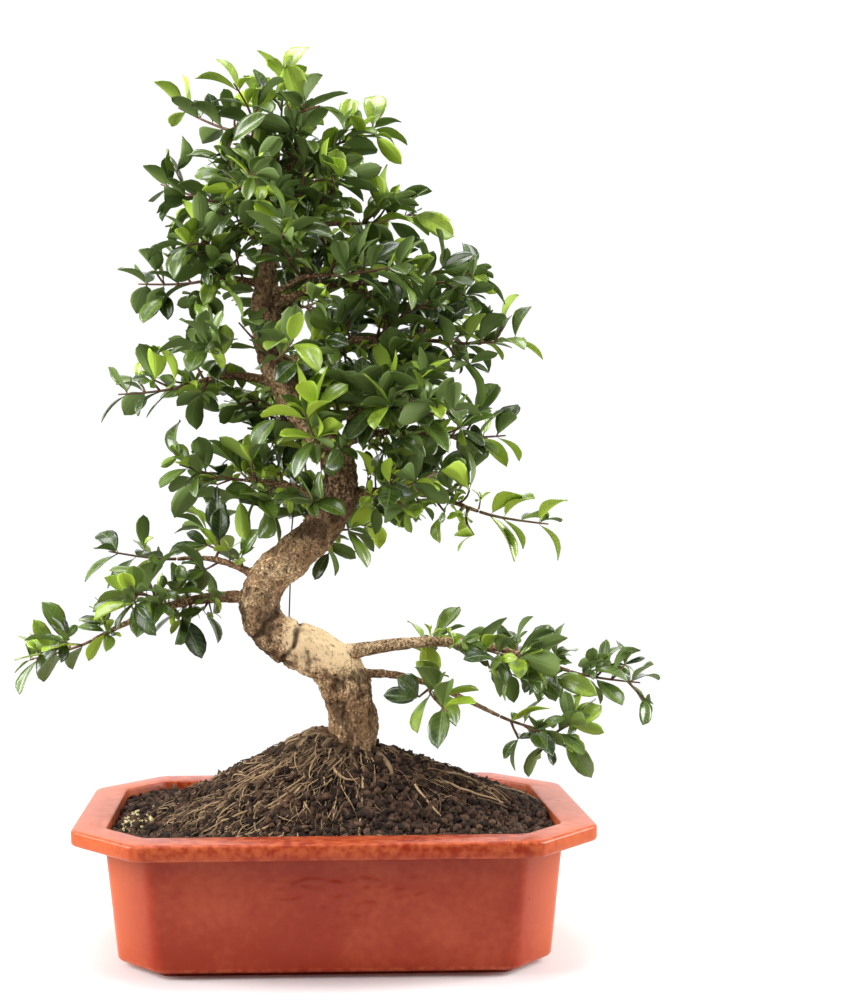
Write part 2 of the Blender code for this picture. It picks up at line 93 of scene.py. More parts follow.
def size_of(name, description, default):
    """A size in metres."""
    return FloatProperty(name=name, description=description, default=default, min=0, unit="LENGTH")


def number_of(name, description, default):
    """A number of things."""
    return IntProperty(name=name, description=description, default=default, min=0)


def colour_of(name, description, default):
    """A colour."""
    return FloatVectorProperty(name=name, description=description, default=default, subtype="COLOR", size=3)


def turn_of(name, description, default):
    """A small turn."""
    return FloatProperty(name=name, description=description, default=default, subtype="ANGLE")


def power_of(name, description, default):
    """The power of a light."""
    return FloatProperty(name=name, description=description, default=default, min=0, subtype="POWER")


class BonsaiPotSettings(bpy.types.PropertyGroup):
    """Sizes and colours of the tray."""
    lip_height: size_of("Lip height", "Height of the rim's outer edge", 0.008)
    overhang: size_of("Overhang", "How far the rim stands out over the wall", 0.0155)
    taper: size_of("Taper", "How far the wall leans in down to the base", 0.0064)
    wall: size_of("Wall", "Thickness of the moulded wall", 0.0020)
    floor_top: size_of("Floor", "Height of the inner floor", 0.007)
    plinth_height: size_of("Plinth height", "Height of the inset base", 0.003)
    plinth_inset: size_of("Plinth inset", "How far the base is set in", 0.007)
    rim_corner: size_of("Rim corner", "Cut of the rim's corners", 0.0345)
    body_corner: size_of("Body corner", "Cut of the wall's corners", 0.0225)
    corner_round: size_of("Corner rounding", "Radius of each upright corner", 0.010)
    edge_round: size_of("Edge rounding", "Radius of the rim's edges", 0.0016)
    drain_radius: size_of("Drain radius", "Radius of each drain hole", 0.006)
    drain_spacing: size_of("Drain spacing", "Distance between the drain holes", 0.110)
    relief_depth: size_of("Relief depth", "Height of the plain relief in front", 0.0005)
    colour: colour_of("Colour", "Body colour of the plastic", (0.262, 0.0205, 0.0040))
    # Real faded, rubbed plastic, and also the colour of the painted light at the pot's ends.
    worn_and_lit_colour: colour_of("Faded colour", "Faded and rubbed plastic", (0.58, 0.130, 0.045))


class BonsaiSoilSettings(bpy.types.PropertyGroup):
    """Amounts and colours of the root ball."""
    grain: size_of("Surface grain", "Spacing of the soil surface's points", 0.0016)
    crumbs: number_of("Crumbs", "Loose crumbs of soil", 3000)
    fibres: number_of("Fibres", "Fine hair roots", 1350)
    roots: number_of("Roots", "Thicker bare root strands", 40)
    grains: number_of("Pale grains", "Pale feed grains at one end", 16)
    dark: colour_of("Dark soil", "Damp peat", (0.017, 0.0100, 0.0068))
    light: colour_of("Light soil", "Dry peat", (0.128, 0.071, 0.043))
    root: colour_of("Root", "Dry root strands", (0.50, 0.34, 0.19))


class BonsaiWoodSettings(bpy.types.PropertyGroup):
    """Fineness and colours of the bark."""
    fineness: size_of("Fineness", "Spacing of the bark's surface points", 0.00065)
    relief: size_of("Bark relief", "Depth of the bark's ridges", 0.0021)
    light: colour_of("Light bark", "Smooth young bark", (0.90, 0.66, 0.38))
    mid: colour_of("Middle bark", "Weathered bark", (0.315, 0.185, 0.092))
    dark: colour_of("Dark bark", "Cracks and rough patches", (0.062, 0.034, 0.018))
    twig: colour_of("Twig", "Reddish young wood", (0.090, 0.034, 0.021))


class BonsaiLeafSettings(bpy.types.PropertyGroup):
    """Sizes and colours of the leaves."""
    thickness: size_of("Thickness", "Thickness of a leaf at its middle", 0.00034)
    spur_leaf: size_of("Spur leaf size", "Length of the leaves on side spurs", 0.0190)
    spurs: number_of("Spurs", "Spurs that stand on the limbs themselves", 400)
    old: colour_of("Old leaf", "Dark full-grown leaves", (0.0085, 0.025, 0.0035))
    grown: colour_of("Grown leaf", "Middle green leaves", (0.125, 0.205, 0.022))
    young: colour_of("Young leaf", "Bright new growth", (0.47, 0.66, 0.050))
    under: colour_of("Underside", "Paler, matt underside", (0.135, 0.205, 0.045))


class BonsaiStageSettings(bpy.types.PropertyGroup):
    """Camera and lights."""
    camera_place: FloatVectorProperty(name="Camera place", description="Where the camera stands",
                                      subtype="TRANSLATION", size=3, unit="LENGTH",
                                      default=(-0.0224, -0.752, 0.2355))
    camera_roll: turn_of("Camera roll", "Lean of the camera about its view", 0.011)
    camera_turn: turn_of("Camera turn", "Small turn about the vertical", -0.003)
    camera_tilt: turn_of("Camera tilt", "Small downward tilt", -0.003)
    lens: FloatProperty(name="Lens", description="Focal length in millimetres", default=51.0,
                        unit="CAMERA")
    shift: FloatProperty(name="Shift", description="Sideways framing shift", default=0.133)
    top_power: power_of("Top light", "Power of the overhead soft light", 23.0)
    left_power: power_of("Left light", "Power of the panel at the left", 22.0)
    right_power: power_of("Right light", "Power of the panel at the right", 22.4)
    back_power: power_of("Back panel", "Power of the wide panel behind", 9.0)
    front_power: power_of("Front light", "Power of the high light in front", 11.0)
    surround: FloatProperty(name="Surround light", description="Light from the white surround",
                            default=0.26, min=0)


# Small helpers

def settings(context, name):
    """One of the scene's groups of settings."""
    return getattr(context.scene, "bonsai_" + name)


def add_piece(name, mesh, materials, slot, *nodes):
    """Put a mesh into the scene as a piece of the object that stands for CAD nodes."""
    for material in materials:
        mesh.materials.append(material)
    mesh.shade_smooth()
    item = placed(name, mesh)
    if nodes:
        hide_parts(*nodes)
    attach(item, "root")
    return item


def clamped(value, low=0.0, high=1.0):
    """A value kept between two limits."""
    return min(high, max(low, value))


def store_values(mesh, **values):
    """Keep one number for each point under each name, for the materials."""
    for name, numbers in values.items():
        layer = mesh.attributes.new(name, "FLOAT", "POINT")
        layer.data.foreach_set("value", np.array(numbers, np.float32))


def evaluated_mesh(item):
    """An object's mesh with its modifiers applied."""
    bpy.context.view_layer.update()
    return bpy.data.meshes.new_from_object(item.evaluated_get(bpy.context.evaluated_depsgraph_get()))


def placed(name, data):
    """A new object in the scene."""
    item = bpy.data.objects.new(name, data)
    bpy.context.scene.collection.objects.link(item)
    return item


def middle_of(vertices):
    """The middle of some vertices."""
    return sum((vertex.co for vertex in vertices), Vector()) / len(vertices)


def welded(node):
    """A bmesh of a CAD node at rest, with its points joined."""
    shape = bmesh.new()
    shape.from_mesh(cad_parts[node].data)
    bmesh.ops.remove_doubles(shape, verts=shape.verts, dist=1e-6)
    return shape


def node_tree(node):
    """A tree of a CAD node's faces, for finding its surface."""
    shape = welded(node)
    tree = BVHTree.FromBMesh(shape)
    shape.free()
    return tree


def across_of(direction):
    """A unit direction square to another, and level where it can be."""
    side = direction.cross(UP)
    if side.length < 0.15:
        side = direction.cross(Vector((1, 0, 0)))
    return side.normalized()


class Builder:
    """Gathers points and faces with a few values for each point, and makes one mesh of them."""

    def __init__(self, *value_names):
        self.points = []
        self.faces = []
        self.slots = []
        self.values = {name: [] for name in value_names}

    def add(self, points, faces, slot=0, **values):
        """Add points, and faces that count from them. A value is one number or one per point."""
        start = len(self.points)
        self.points.extend(points)
        self.faces.extend([start + index for index in face] for face in faces)
        self.slots.extend([slot] * len(faces))
        for name, store in self.values.items():
            given = values.get(name, 0.0)
            store.extend(given if isinstance(given, list) else [given] * len(points))

    def mesh(self, name):
        """The mesh, with each value as a point attribute."""
        made = bpy.data.meshes.new(name)
        made.from_pydata([tuple(point) for point in self.points], [], self.faces)
        store_values(made, **self.values)
        made.polygons.foreach_set("material_index", np.array(self.slots, np.int32))
        made.update()
        return made


def ring_faces(rings, sides):
    """Faces between rings of points that follow each other."""
    faces = []
    for ring in range(rings - 1):
        for k in range(sides):
            a = ring * sides + k
            b = ring * sides + (k + 1) % sides
            faces.append((a, b, b + sides, a + sides))
    return faces


def tube(points, radii, sides):
    """Points and faces of a closed tube with pointed ends along a path."""
    made = []
    across = None
    for i, point in enumerate(points):
        along = (points[min(i + 1, len(points) - 1)] - points[max(i - 1, 0)]).normalized()
        if across is None:
            across = across_of(along)
        across = (across - along * across.dot(along)).normalized()
        other = along.cross(across)
        for k in range(sides):
            angle = 2 * math.pi * k / sides
            made.append(point + (across * math.cos(angle) + other * math.sin(angle)) * radii[i])
    faces = ring_faces(len(points), sides)
    first_end = len(made)
    made.append(points[0] - (points[1] - points[0]).normalized() * radii[0] * 0.5)
    made.append(points[-1] + (points[-1] - points[-2]).normalized() * radii[-1] * 0.5)
    last = (len(points) - 1) * sides
    for k in range(sides):
        j = (k + 1) % sides
        faces.append((j, k, first_end))
        faces.append((last + k, last + j, first_end + 1))
    return made, faces


def curve_points(corners, count):
    """Points on a smooth curve through a few corners."""
    rows = [corners[0] * 2 - corners[1]] + list(corners) + [corners[-1] * 2 - corners[-2]]
    spans = len(corners) - 1
    points = []
    for k in range(count + 1):
        place = spans * k / count
        i = min(int(place), spans - 1)
        t = place - i
        a, b, c, d = rows[i:i + 4]
        points.append(0.5 * ((2 * b) + (c - a) * t + (2 * a - 5 * b + 4 * c - d) * t * t
                             + (3 * b - a - 3 * c + d) * t * t * t))
    return points


# Materials

# Lesser colours, which go with the settings' own.
RELIEF_SHADE = (0.17, 0.012, 0.004)
SPECK = (0.10, 0.030, 0.018)
SOIL_DUST = (0.075, 0.042, 0.027)
RED_PEAT = (0.10, 0.045, 0.026)
ROOT_SHADE = (0.060, 0.034, 0.020)
GRAIN_SHADE = (0.33, 0.25, 0.10)
GRAIN = (0.70, 0.62, 0.33)
TWIG_LIGHT = (0.24, 0.125, 0.070)
TWIG_GREEN = (0.16, 0.24, 0.045)
PALE_VEIN = (0.30, 0.40, 0.13)
WIRE_SHADE = (0.012, 0.010, 0.008)
WIRE_WORN = (0.050, 0.038, 0.028)
# How closely the side veins follow each other along a leaf.
VEIN_RATE = 46.0

class Shader:
    """A material being wired up: its nodes, and its Principled shader."""

    def __init__(self, name, roughness=0.5, **constants):
        self.material = bpy.data.materials.new(name)
        self.material.use_nodes = True
        self.nodes = self.material.node_tree.nodes
        self.links = self.material.node_tree.links
        self.principled = self.nodes["Principled BSDF"]
        self.principled.inputs["Roughness"].default_value = roughness
        for socket, value in constants.items():
            self.principled.inputs[socket.replace("_", " ")].default_value = value

    def put(self, socket, value):
        """Link a socket to an output, or give it a constant."""
        if isinstance(value, bpy.types.NodeSocket):
            self.links.new(value, socket)
        else:
            socket.default_value = value

    def attribute(self, name):
        """A value that the mesh holds for each point."""
        made = self.nodes.new("ShaderNodeAttribute")
        made.attribute_name = name
        return made.outputs["Fac"]

    def place(self):
        """The object's own coordinates, which don't move with the view."""
        return self.nodes.new("ShaderNodeTexCoord").outputs["Object"]

    def math(self, operation, first, second=0.0, clamp=False):
        """A sum on one value or two."""
        made = self.nodes.new("ShaderNodeMath")
        made.operation = operation
        made.use_clamp = clamp
        self.put(made.inputs[0], first)
        self.put(made.inputs[1], second)
        return made.outputs[0]

    def ramp(self, factor, low, high):
        """A mask from 0 to 1 as factor goes from low to high."""
        made = self.nodes.new("ShaderNodeMapRange")
        made.interpolation_type = "SMOOTHSTEP"
        self.put(made.inputs["Value"], factor)
        made.inputs["From Min"].default_value = low
        made.inputs["From Max"].default_value = high
        return made.outputs["Result"]

    def mix(self, factor, first, second):
        """A mix of two colours."""
        made = self.nodes.new("ShaderNodeMix")
        made.data_type = "RGBA"
        self.put(made.inputs[0], factor)
        for socket, value in ((made.inputs[6], first), (made.inputs[7], second)):
            self.put(socket, value if isinstance(value, bpy.types.NodeSocket) else (*value, 1.0))
        return made.outputs[2]

    def noise(self, scale, detail=4.0, roughness=0.55, stretch=None):
        """Soft noise, finer as the scale grows, and drawn out where it is stretched."""
        made = self.nodes.new("ShaderNodeTexNoise")
        made.inputs["Scale"].default_value = scale
        made.inputs["Detail"].default_value = detail
        made.inputs["Roughness"].default_value = roughness
        place = self.place()
        if stretch:
            mapping = self.nodes.new("ShaderNodeMapping")
            mapping.inputs["Scale"].default_value = stretch
            self.links.new(place, mapping.inputs["Vector"])
            place = mapping.outputs["Vector"]
        self.links.new(place, made.inputs["Vector"])
        return made.outputs["Fac"]

    def share(self, value, part):
        """A value times a share."""
        return self.math("MULTIPLY", value, part)

    def tint(self, colour, mask, part, other):
        """A colour turned towards another where a mask is, at most by a part."""
        return self.mix(self.share(mask, part), colour, other)

    def mottle(self, broad_scale, fine_scale, fine_share):
        """The shared mottle at scales of its own: its mask and its finer height."""
        made = self.nodes.new("ShaderNodeGroup")
        made.node_tree = mottle_group()
        for label, value in zip(MOTTLE_INPUTS, (broad_scale, fine_scale, fine_share)):
            made.inputs[label].default_value = value
        return made.outputs["Mask"], made.outputs["Height"]

    def bump(self, height, distance, strength):
        """Raise the surface by a height, at most by a distance in metres."""
        made = self.nodes.new("ShaderNodeBump")
        made.inputs["Distance"].default_value = distance
        made.inputs["Strength"].default_value = strength
        self.links.new(height, made.inputs["Height"])
        self.links.new(made.outputs["Normal"], self.principled.inputs["Normal"])

    def finish(self, colour, roughness=None):
        """Give the shader its colour, and its roughness where that varies."""
        self.put(self.principled.inputs["Base Color"], colour)
        if roughness is not None:
            self.put(self.principled.inputs["Roughness"], roughness)
        return self.material


MOTTLE_INPUTS = ("Broad scale", "Fine scale", "Fine share")


def mottle_group():
    """Shared effect: two scales of soft patches, as a mask and a finer height."""
    name = "Bonsai mottle"
    if name in bpy.data.node_groups:
        return bpy.data.node_groups[name]
    tree = bpy.data.node_groups.new(name, "ShaderNodeTree")
    for label in MOTTLE_INPUTS:
        tree.interface.new_socket(label, in_out="INPUT", socket_type="NodeSocketFloat")
    for label in ("Mask", "Height"):
        tree.interface.new_socket(label, in_out="OUTPUT", socket_type="NodeSocketFloat")
    source = tree.nodes.new("NodeGroupInput")
    result = tree.nodes.new("NodeGroupOutput")
    place = tree.nodes.new("ShaderNodeTexCoord")
    broad = tree.nodes.new("ShaderNodeTexNoise")
    fine = tree.nodes.new("ShaderNodeTexNoise")
    blend = tree.nodes.new("ShaderNodeMix")
    for texture, scale in ((broad, "Broad scale"), (fine, "Fine scale")):
        texture.inputs["Detail"].default_value = 5.0
        tree.links.new(place.outputs["Object"], texture.inputs["Vector"])
        tree.links.new(source.outputs[scale], texture.inputs["Scale"])
    tree.links.new(source.outputs["Fine share"], blend.inputs[0])
    tree.links.new(broad.outputs["Fac"], blend.inputs[2])
    tree.links.new(fine.outputs["Fac"], blend.inputs[3])
    tree.links.new(blend.outputs[0], result.inputs["Mask"])
    tree.links.new(fine.outputs["Fac"], result.inputs["Height"])
    return tree


def pot_material(pot):
    """Moulded terracotta plastic: satin, faintly mottled, rubbed pale at its edges, soil-dusted, and painted
    paler towards its ends as painted light from the side lights.
    """
    shader = Shader("terracotta_plastic", Specular_IOR_Level=0.17, Coat_Weight=0.12, Coat_Roughness=0.14)
    mask, height = shader.mottle(22.0, 260.0, 0.3)
    worn_and_lit = tuple(pot.worn_and_lit_colour)
    colour = shader.tint(tuple(pot.colour), shader.ramp(mask, 0.42, 0.72), 0.30, worn_and_lit)
    # Painted light: the pot's ends are painted paler, as if lit by the side lights.
    colour = shader.tint(colour, shader.attribute("end"), 0.68, worn_and_lit)
    rubbed = shader.share(shader.attribute("edge"), shader.ramp(height, 0.35, 0.65))
    colour = shader.tint(colour, rubbed, 0.65, worn_and_lit)
    colour = shader.tint(colour, shader.attribute("raised"), 0.30, RELIEF_SHADE)
    colour = shader.tint(colour, shader.ramp(shader.noise(520.0, 2.0), 0.70, 0.76), 0.45, SPECK)
    dust = shader.share(shader.attribute("inside"), shader.ramp(shader.noise(150.0, 6.0), 0.40, 0.62))
    colour = shader.tint(colour, dust, 0.8, SOIL_DUST)
    rough = shader.math("ADD", shader.share(mask, 0.20), 0.20)
    rough = shader.math("ADD", rough, shader.share(dust, 0.4), clamp=True)
    shader.bump(height, 0.00012, 0.35)
    return shader.finish(colour, rough)


def soil_material(soil):
    """Peaty soil: damp and dry patches, with a tone of its own for each crumb."""
    shader = Shader("peat", 0.92, Specular_IOR_Level=0.25)
    mask, height = shader.mottle(90.0, 900.0, 0.5)
    tone = shader.math("ADD", mask, shader.attribute("tone"))
    colour = shader.mix(shader.ramp(tone, 0.35, 0.95), tuple(soil.dark), tuple(soil.light))
    colour = shader.tint(colour, shader.ramp(shader.noise(60.0, 3.0), 0.52, 0.70), 0.35, RED_PEAT)
    shader.bump(height, 0.0007, 0.9)
    return shader.finish(colour)


def root_material(soil):
    """Dry root strands, pale to brown along and among themselves."""
    shader = Shader("root_strand", 0.80, Specular_IOR_Level=0.3)
    mask, height = shader.mottle(160.0, 1400.0, 0.4)
    tone = shader.math("ADD", shader.share(shader.attribute("tone"), 0.75), shader.share(mask, 0.35))
    colour = shader.mix(shader.ramp(tone, 0.15, 0.85), ROOT_SHADE, tuple(soil.root))
    shader.bump(height, 0.0003, 0.6)
    return shader.finish(colour)


def grain_material():
    """Pale yellowish feed grains."""
    shader = Shader("pale_grain", 0.75)
    mask, height = shader.mottle(300.0, 1500.0, 0.4)
    shader.bump(height, 0.0003, 0.5)
    return shader.finish(shader.mix(shader.ramp(mask, 0.4, 0.65), GRAIN_SHADE, GRAIN))


def bark_material(wood):
    """Tan flaky bark, dark in its cracks and rough patches, with painted shade in its sunken hollows and ring
    creases, paler at the bend as smooth young bark and as painted light, redder in the thin limbs.
    """
    shader = Shader("bark", 0.84, Specular_IOR_Level=0.22)
    mask, height = shader.mottle(60.0, 900.0, 0.60)
    dark = tuple(wood.dark)
    # Painted light: the bend is painted paler, partly as smooth young bark and partly for the strong light on
    # it.
    fresh = shader.attribute("fresh")
    tone = shader.math("ADD", mask, shader.share(fresh, 0.32))
    colour = shader.mix(shader.ramp(tone, 0.48, 0.68), tuple(wood.mid), tuple(wood.light))
    flakes = shader.noise(560.0, 7.0, 0.72, stretch=(1.0, 1.0, 0.7))
    cracks = shader.ramp(shader.math("ADD", flakes, shader.share(fresh, 0.05)), 0.48, 0.36)
    colour = shader.tint(colour, cracks, 0.72, dark)
    # Painted shade: the bark is darkened where its relief is sunken.
    colour = shader.tint(colour, shader.ramp(shader.attribute("relief"), 0.46, 0.30), 0.70, dark)
    patches = shader.share(shader.attribute("rough"), shader.ramp(flakes, 0.66, 0.44))
    colour = shader.tint(colour, patches, 0.95, dark)
    # Painted shade: the bark is darkened in the ring creases.
    colour = shader.tint(colour, shader.attribute("pinch"), 0.85, dark)
    thin = shader.share(shader.attribute("thin"), shader.ramp(height, 0.75, 0.30))
    colour = shader.tint(colour, thin, 0.85, tuple(wood.twig))
    shader.bump(shader.math("SUBTRACT", height, shader.share(cracks, 0.8)), 0.0008, 0.9)
    return shader.finish(colour)


def twig_material(wood):
    """Reddish-brown young wood, greener in the newest twigs."""
    shader = Shader("twig_bark", 0.70, Specular_IOR_Level=0.35)
    mask, height = shader.mottle(260.0, 1800.0, 0.4)
    colour = shader.mix(shader.ramp(mask, 0.40, 0.64), tuple(wood.twig), TWIG_LIGHT)
    colour = shader.tint(colour, shader.attribute("tone"), 0.8, TWIG_GREEN)
    shader.bump(height, 0.0002, 0.6)
    return shader.finish(colour)


def leaf_material(leaf):
    """Glossy leaves: dark to bright by age, with a pale midrib, side veins and a matt underside."""
    shader = Shader("leaf_green", Specular_IOR_Level=0.38, Coat_Roughness=0.20)
    old, grown, young = tuple(leaf.old), tuple(leaf.grown), tuple(leaf.young)
    age = shader.attribute("age")
    under = shader.attribute("under")
    side = shader.math("ABSOLUTE", shader.attribute("across"))
    colour = shader.mix(shader.ramp(age, 0.0, 0.5), old, grown)
    colour = shader.mix(shader.ramp(age, 0.5, 1.0), colour, young)
    patch = shader.ramp(shader.noise(210.0, 4.0), 0.35, 0.70)
    colour = shader.tint(colour, patch, 0.42, grown)
    pale = shader.mix(0.5, colour, PALE_VEIN)
    rib = shader.ramp(side, 0.11, 0.02)
    slant = shader.math("SUBTRACT", shader.attribute("along"), shader.share(side, 0.22))
    wave = shader.math("SINE", shader.share(slant, VEIN_RATE))
    vein = shader.share(shader.ramp(wave, 0.80, 1.0), shader.ramp(side, 0.98, 0.55))
    colour = shader.tint(colour, shader.ramp(shader.noise(95.0, 3.0), 0.48, 0.66), 0.55, old)
    colour = shader.tint(colour, rib, 0.75, pale)
    colour = shader.tint(colour, vein, 0.42, pale)
    colour = shader.mix(under, colour, shader.mix(shader.ramp(age, 0.4, 1.0), tuple(leaf.under), young))
    rough = shader.math("ADD", shader.share(under, 0.30), 0.30)
    rough = shader.math("ADD", rough, shader.share(patch, 0.10))
    coat = shader.share(shader.math("SUBTRACT", 1.0, under), 0.75)
    shader.put(shader.principled.inputs["Coat Weight"], coat)
    shader.bump(shader.math("ADD", shader.share(rib, -1.0), shader.share(vein, -0.6)), 0.00016, 0.7)
    return shader.finish(colour, rough)


def wire_material():
    """Dark, dull training strand."""
    shader = Shader("dark_wire", 0.55)
    mask, height = shader.mottle(500.0, 2500.0, 0.5)
    shader.bump(height, 0.0001, 0.5)
    return shader.finish(shader.mix(mask, WIRE_SHADE, WIRE_WORN))


# Pot

FRONT_STEPS = 220
FRONT_RINGS = 64
SIDE_STEPS = 10
ARC_STEPS = 6
INSIDE_RINGS = 8
# Rounding under the wall's lower edge, and the fillet that joins the wall to the rim.
BASE_ROUND = 0.0018
RIM_FILLET = 0.0012
# Painted light: the pot is painted paler, as if lit from the sides, from this share of its half length
# outwards, over this much more of it.
LIT_END_START = 0.68
LIT_END_WIDTH = 0.16
# Plain bars of the front relief: middle x and z, half width and half height.
RELIEF_BARS = (
    (0.006, 0.0485, 0.034, 0.0013), (-0.014, 0.0450, 0.016, 0.0011), (0.022, 0.0445, 0.014, 0.0012),
    (0.002, 0.0410, 0.012, 0.0010), (0.033, 0.0405, 0.012, 0.0011), (-0.024, 0.0400, 0.008, 0.0010),
    (0.016, 0.0365, 0.018, 0.0011), (-0.008, 0.0350, 0.008, 0.0010), (0.004, 0.0315, 0.011, 0.0010),
    (-0.010, 0.0270, 0.0035, 0.0011), (0.002, 0.0265, 0.0035, 0.0011), (0.013, 0.0270, 0.0035, 0.0010),
    (-0.009, 0.0225, 0.0035, 0.0010), (0.003, 0.0220, 0.0040, 0.0010), (0.014, 0.0225, 0.0030, 0.0010),
)


def rounded_octagon(half_x, half_y, corner, height, radius):
    """An octagon with arcs at its eight corners, always with the same number of points."""
    corners = [Vector(pair) for pair in (
        (half_x, -half_y + corner), (half_x, half_y - corner),
        (half_x - corner, half_y), (-half_x + corner, half_y),
        (-half_x, half_y - corner), (-half_x, -half_y + corner),
        (-half_x + corner, -half_y), (half_x - corner, -half_y))]
    arcs = []
    for i, point in enumerate(corners):
        back = (corners[i - 1] - point).normalized()
        ahead = (corners[(i + 1) % 8] - point).normalized()
        half_angle = back.angle(ahead) / 2
        reach = radius / math.tan(half_angle)
        middle = point + (back + ahead).normalized() * (radius / math.sin(half_angle))
        start = point + back * reach - middle
        end = point + ahead * reach - middle
        sweep = start.angle_signed(end)
        arc = []
        for k in range(ARC_STEPS + 1):
            angle = -sweep * k / ARC_STEPS
            arc.append(middle + Matrix.Rotation(angle, 2) @ start)
        arcs.append(arc)
    points = []
    for i, arc in enumerate(arcs):
        following = arcs[(i + 1) % 8][0]
        steps = FRONT_STEPS if i == 6 else SIDE_STEPS
        points.extend(arc[:-1])
        for k in range(steps):
            points.append(arc[-1].lerp(following, k / steps))
    return [Vector((point.x, point.y, height)) for point in points]


def relief_height(x, z):
    """Height of the plain relief on the pot's front, from 0 to 1."""
    total = 0.0
    for middle_x, middle_z, half_width, half_height in RELIEF_BARS:
        wavy = middle_z + 0.0009 * math.sin(260 * (x - middle_x) + 900 * middle_z)
        away = ((x - middle_x) / half_width) ** 4 + ((z - wavy) / half_height) ** 2
        total += math.exp(-away * 1.3)
    broken = 0.5 + 1.2 * noise.noise(Vector((x * 330, 0.4, z * 420)))
    return min(1.0, total) * clamped(broken)


def pot_profile(pot):
    """Rings of the pot from the plinth up, over the rim and down inside, each with its marks."""
    height = POT_HIGH.z
    rim = (POT_HIGH.x, POT_HIGH.y, pot.rim_corner)
    lip_under = height - pot.lip_height

    def wall_at(z):
        """The wall's half length, half width and corner at a height."""
        share = (z - pot.plinth_height) / (height - pot.plinth_height)
        inset = pot.overhang + pot.taper * (1 - share)
        return rim[0] - inset, rim[1] - inset, pot.body_corner

    def ring(size, inset, z, edge=0.0, inside=0.0, front=False):
        """One ring of points, and its marks."""
        corner = size[2] - inset * (2 - math.sqrt(2))
        round_by = max(0.002, min(pot.corner_round, corner * 0.4) - max(0.0, inset) * 0.2)
        points = rounded_octagon(size[0] - inset, size[1] - inset, corner, z, round_by)
        return points, edge, inside, front

    def quarter(steps):
        """Sine and cosine at even steps of a quarter turn."""
        angles = [math.pi / 2 * k / steps for k in range(steps + 1)]
        return [(math.sin(angle), math.cos(angle)) for angle in angles]

    foot = wall_at(pot.plinth_height)
    rings = [ring(foot, pot.plinth_inset, 0.0), ring(foot, pot.plinth_inset, pot.plinth_height)]
    for sine, cosine in quarter(4):
        z = pot.plinth_height + BASE_ROUND * (1 - cosine)
        rings.append(ring(wall_at(z), BASE_ROUND * (1 - sine), z, edge=0.6))
    low, high = pot.plinth_height + BASE_ROUND, lip_under - RIM_FILLET
    for k in range(1, FRONT_RINGS):
        z = low + (high - low) * k / FRONT_RINGS
        rings.append(ring(wall_at(z), 0.0, z, front=True))
    rings.append(ring(wall_at(high), 0.0, high))
    rings.append(ring(wall_at(lip_under), -RIM_FILLET, lip_under))
    r = pot.edge_round
    for sine, cosine in quarter(5):
        rings.append(ring(rim, r * (1 - sine), lip_under + r * (1 - cosine), edge=0.5))
    for sine, cosine in quarter(5):
        rings.append(ring(rim, r * (1 - cosine), height - r * (1 - sine), edge=1.0))
    inner = r * 0.7
    for sine, cosine in quarter(4):
        inset = pot.wall - inner * (1 - sine)
        rings.append(ring(wall_at(height), inset, height - inner * (1 - cosine), edge=0.8, inside=0.2))
    for k in range(1, INSIDE_RINGS + 1):
        z = height - r - (height - r - pot.floor_top) * k / INSIDE_RINGS
        rings.append(ring(wall_at(z), pot.wall, z, inside=1.0))
    return rings


class BONSAI_OT_pot(bpy.types.Operator):
    """Make the moulded tray pot"""
    bl_idname = "bonsai.pot"
    bl_label = "Pot"

    def execute(self, context):
        pot = settings(context, "pot")
        builder = Builder("edge", "inside", "end", "raised")
        rings = pot_profile(pot)
        count = len(rings[0][0])
        for points, edge, inside, front in rings:
            raised = [0.0] * count
            if front:
                for k, point in enumerate(points):
                    if point.y < 0 and abs(point.x) < POT_HIGH.x * 0.6:
                        raised[k] = relief_height(point.x, point.z)
                        point.y -= pot.relief_depth * raised[k]
            # Painted light: how much paler each point is painted towards the pot's ends.
            lit_ends = [clamped((abs(point.x) / POT_HIGH.x - LIT_END_START) / LIT_END_WIDTH) for point in points]
            builder.add(points, [], edge=edge, inside=inside, end=lit_ends, raised=raised)
        top = (len(rings) - 1) * count
        builder.faces = ring_faces(len(rings), count)
        builder.faces += [range(count)[::-1], range(top, top + count)]
        builder.slots = [0] * len(builder.faces)
        mesh = builder.mesh("tray_pot")
        item = add_piece("tray_pot", mesh, [pot_material(pot)], "terracotta_plastic", "pot")
        for side in (-1, 1):
            cut_drain(item, side * pot.drain_spacing / 2, pot.drain_radius)
        return {"FINISHED"}


def cut_drain(item, x, radius):
    """Cut one round drain hole through the pot's floor."""
    points, faces = tube([Vector((x, 0, -0.01)), Vector((x, 0, 0.02))], [radius, radius], 32)
    builder = Builder()
    builder.add(points, faces)
    cutter = placed("drain_cutter", builder.mesh("drain_cutter"))
    cut = item.modifiers.new("drain", "BOOLEAN")
    cut.operation = "DIFFERENCE"
    cut.object = cutter
    mesh = evaluated_mesh(item)
    item.modifiers.clear()
    item.data = mesh
    bpy.data.objects.remove(cutter, do_unlink=True)


# Root ball

# Points of one crumb.
CRUMB_POINTS = 42
# Soil lower than this is the root ball's side, and higher than this it is rough.
SOIL_SIDE = 0.055
SOIL_ROUGH = 0.056
# Hair roots that lie together.
CLUMP = 9
# Thicker roots that spread from the trunk's foot.
FLARE_ROOTS = 20


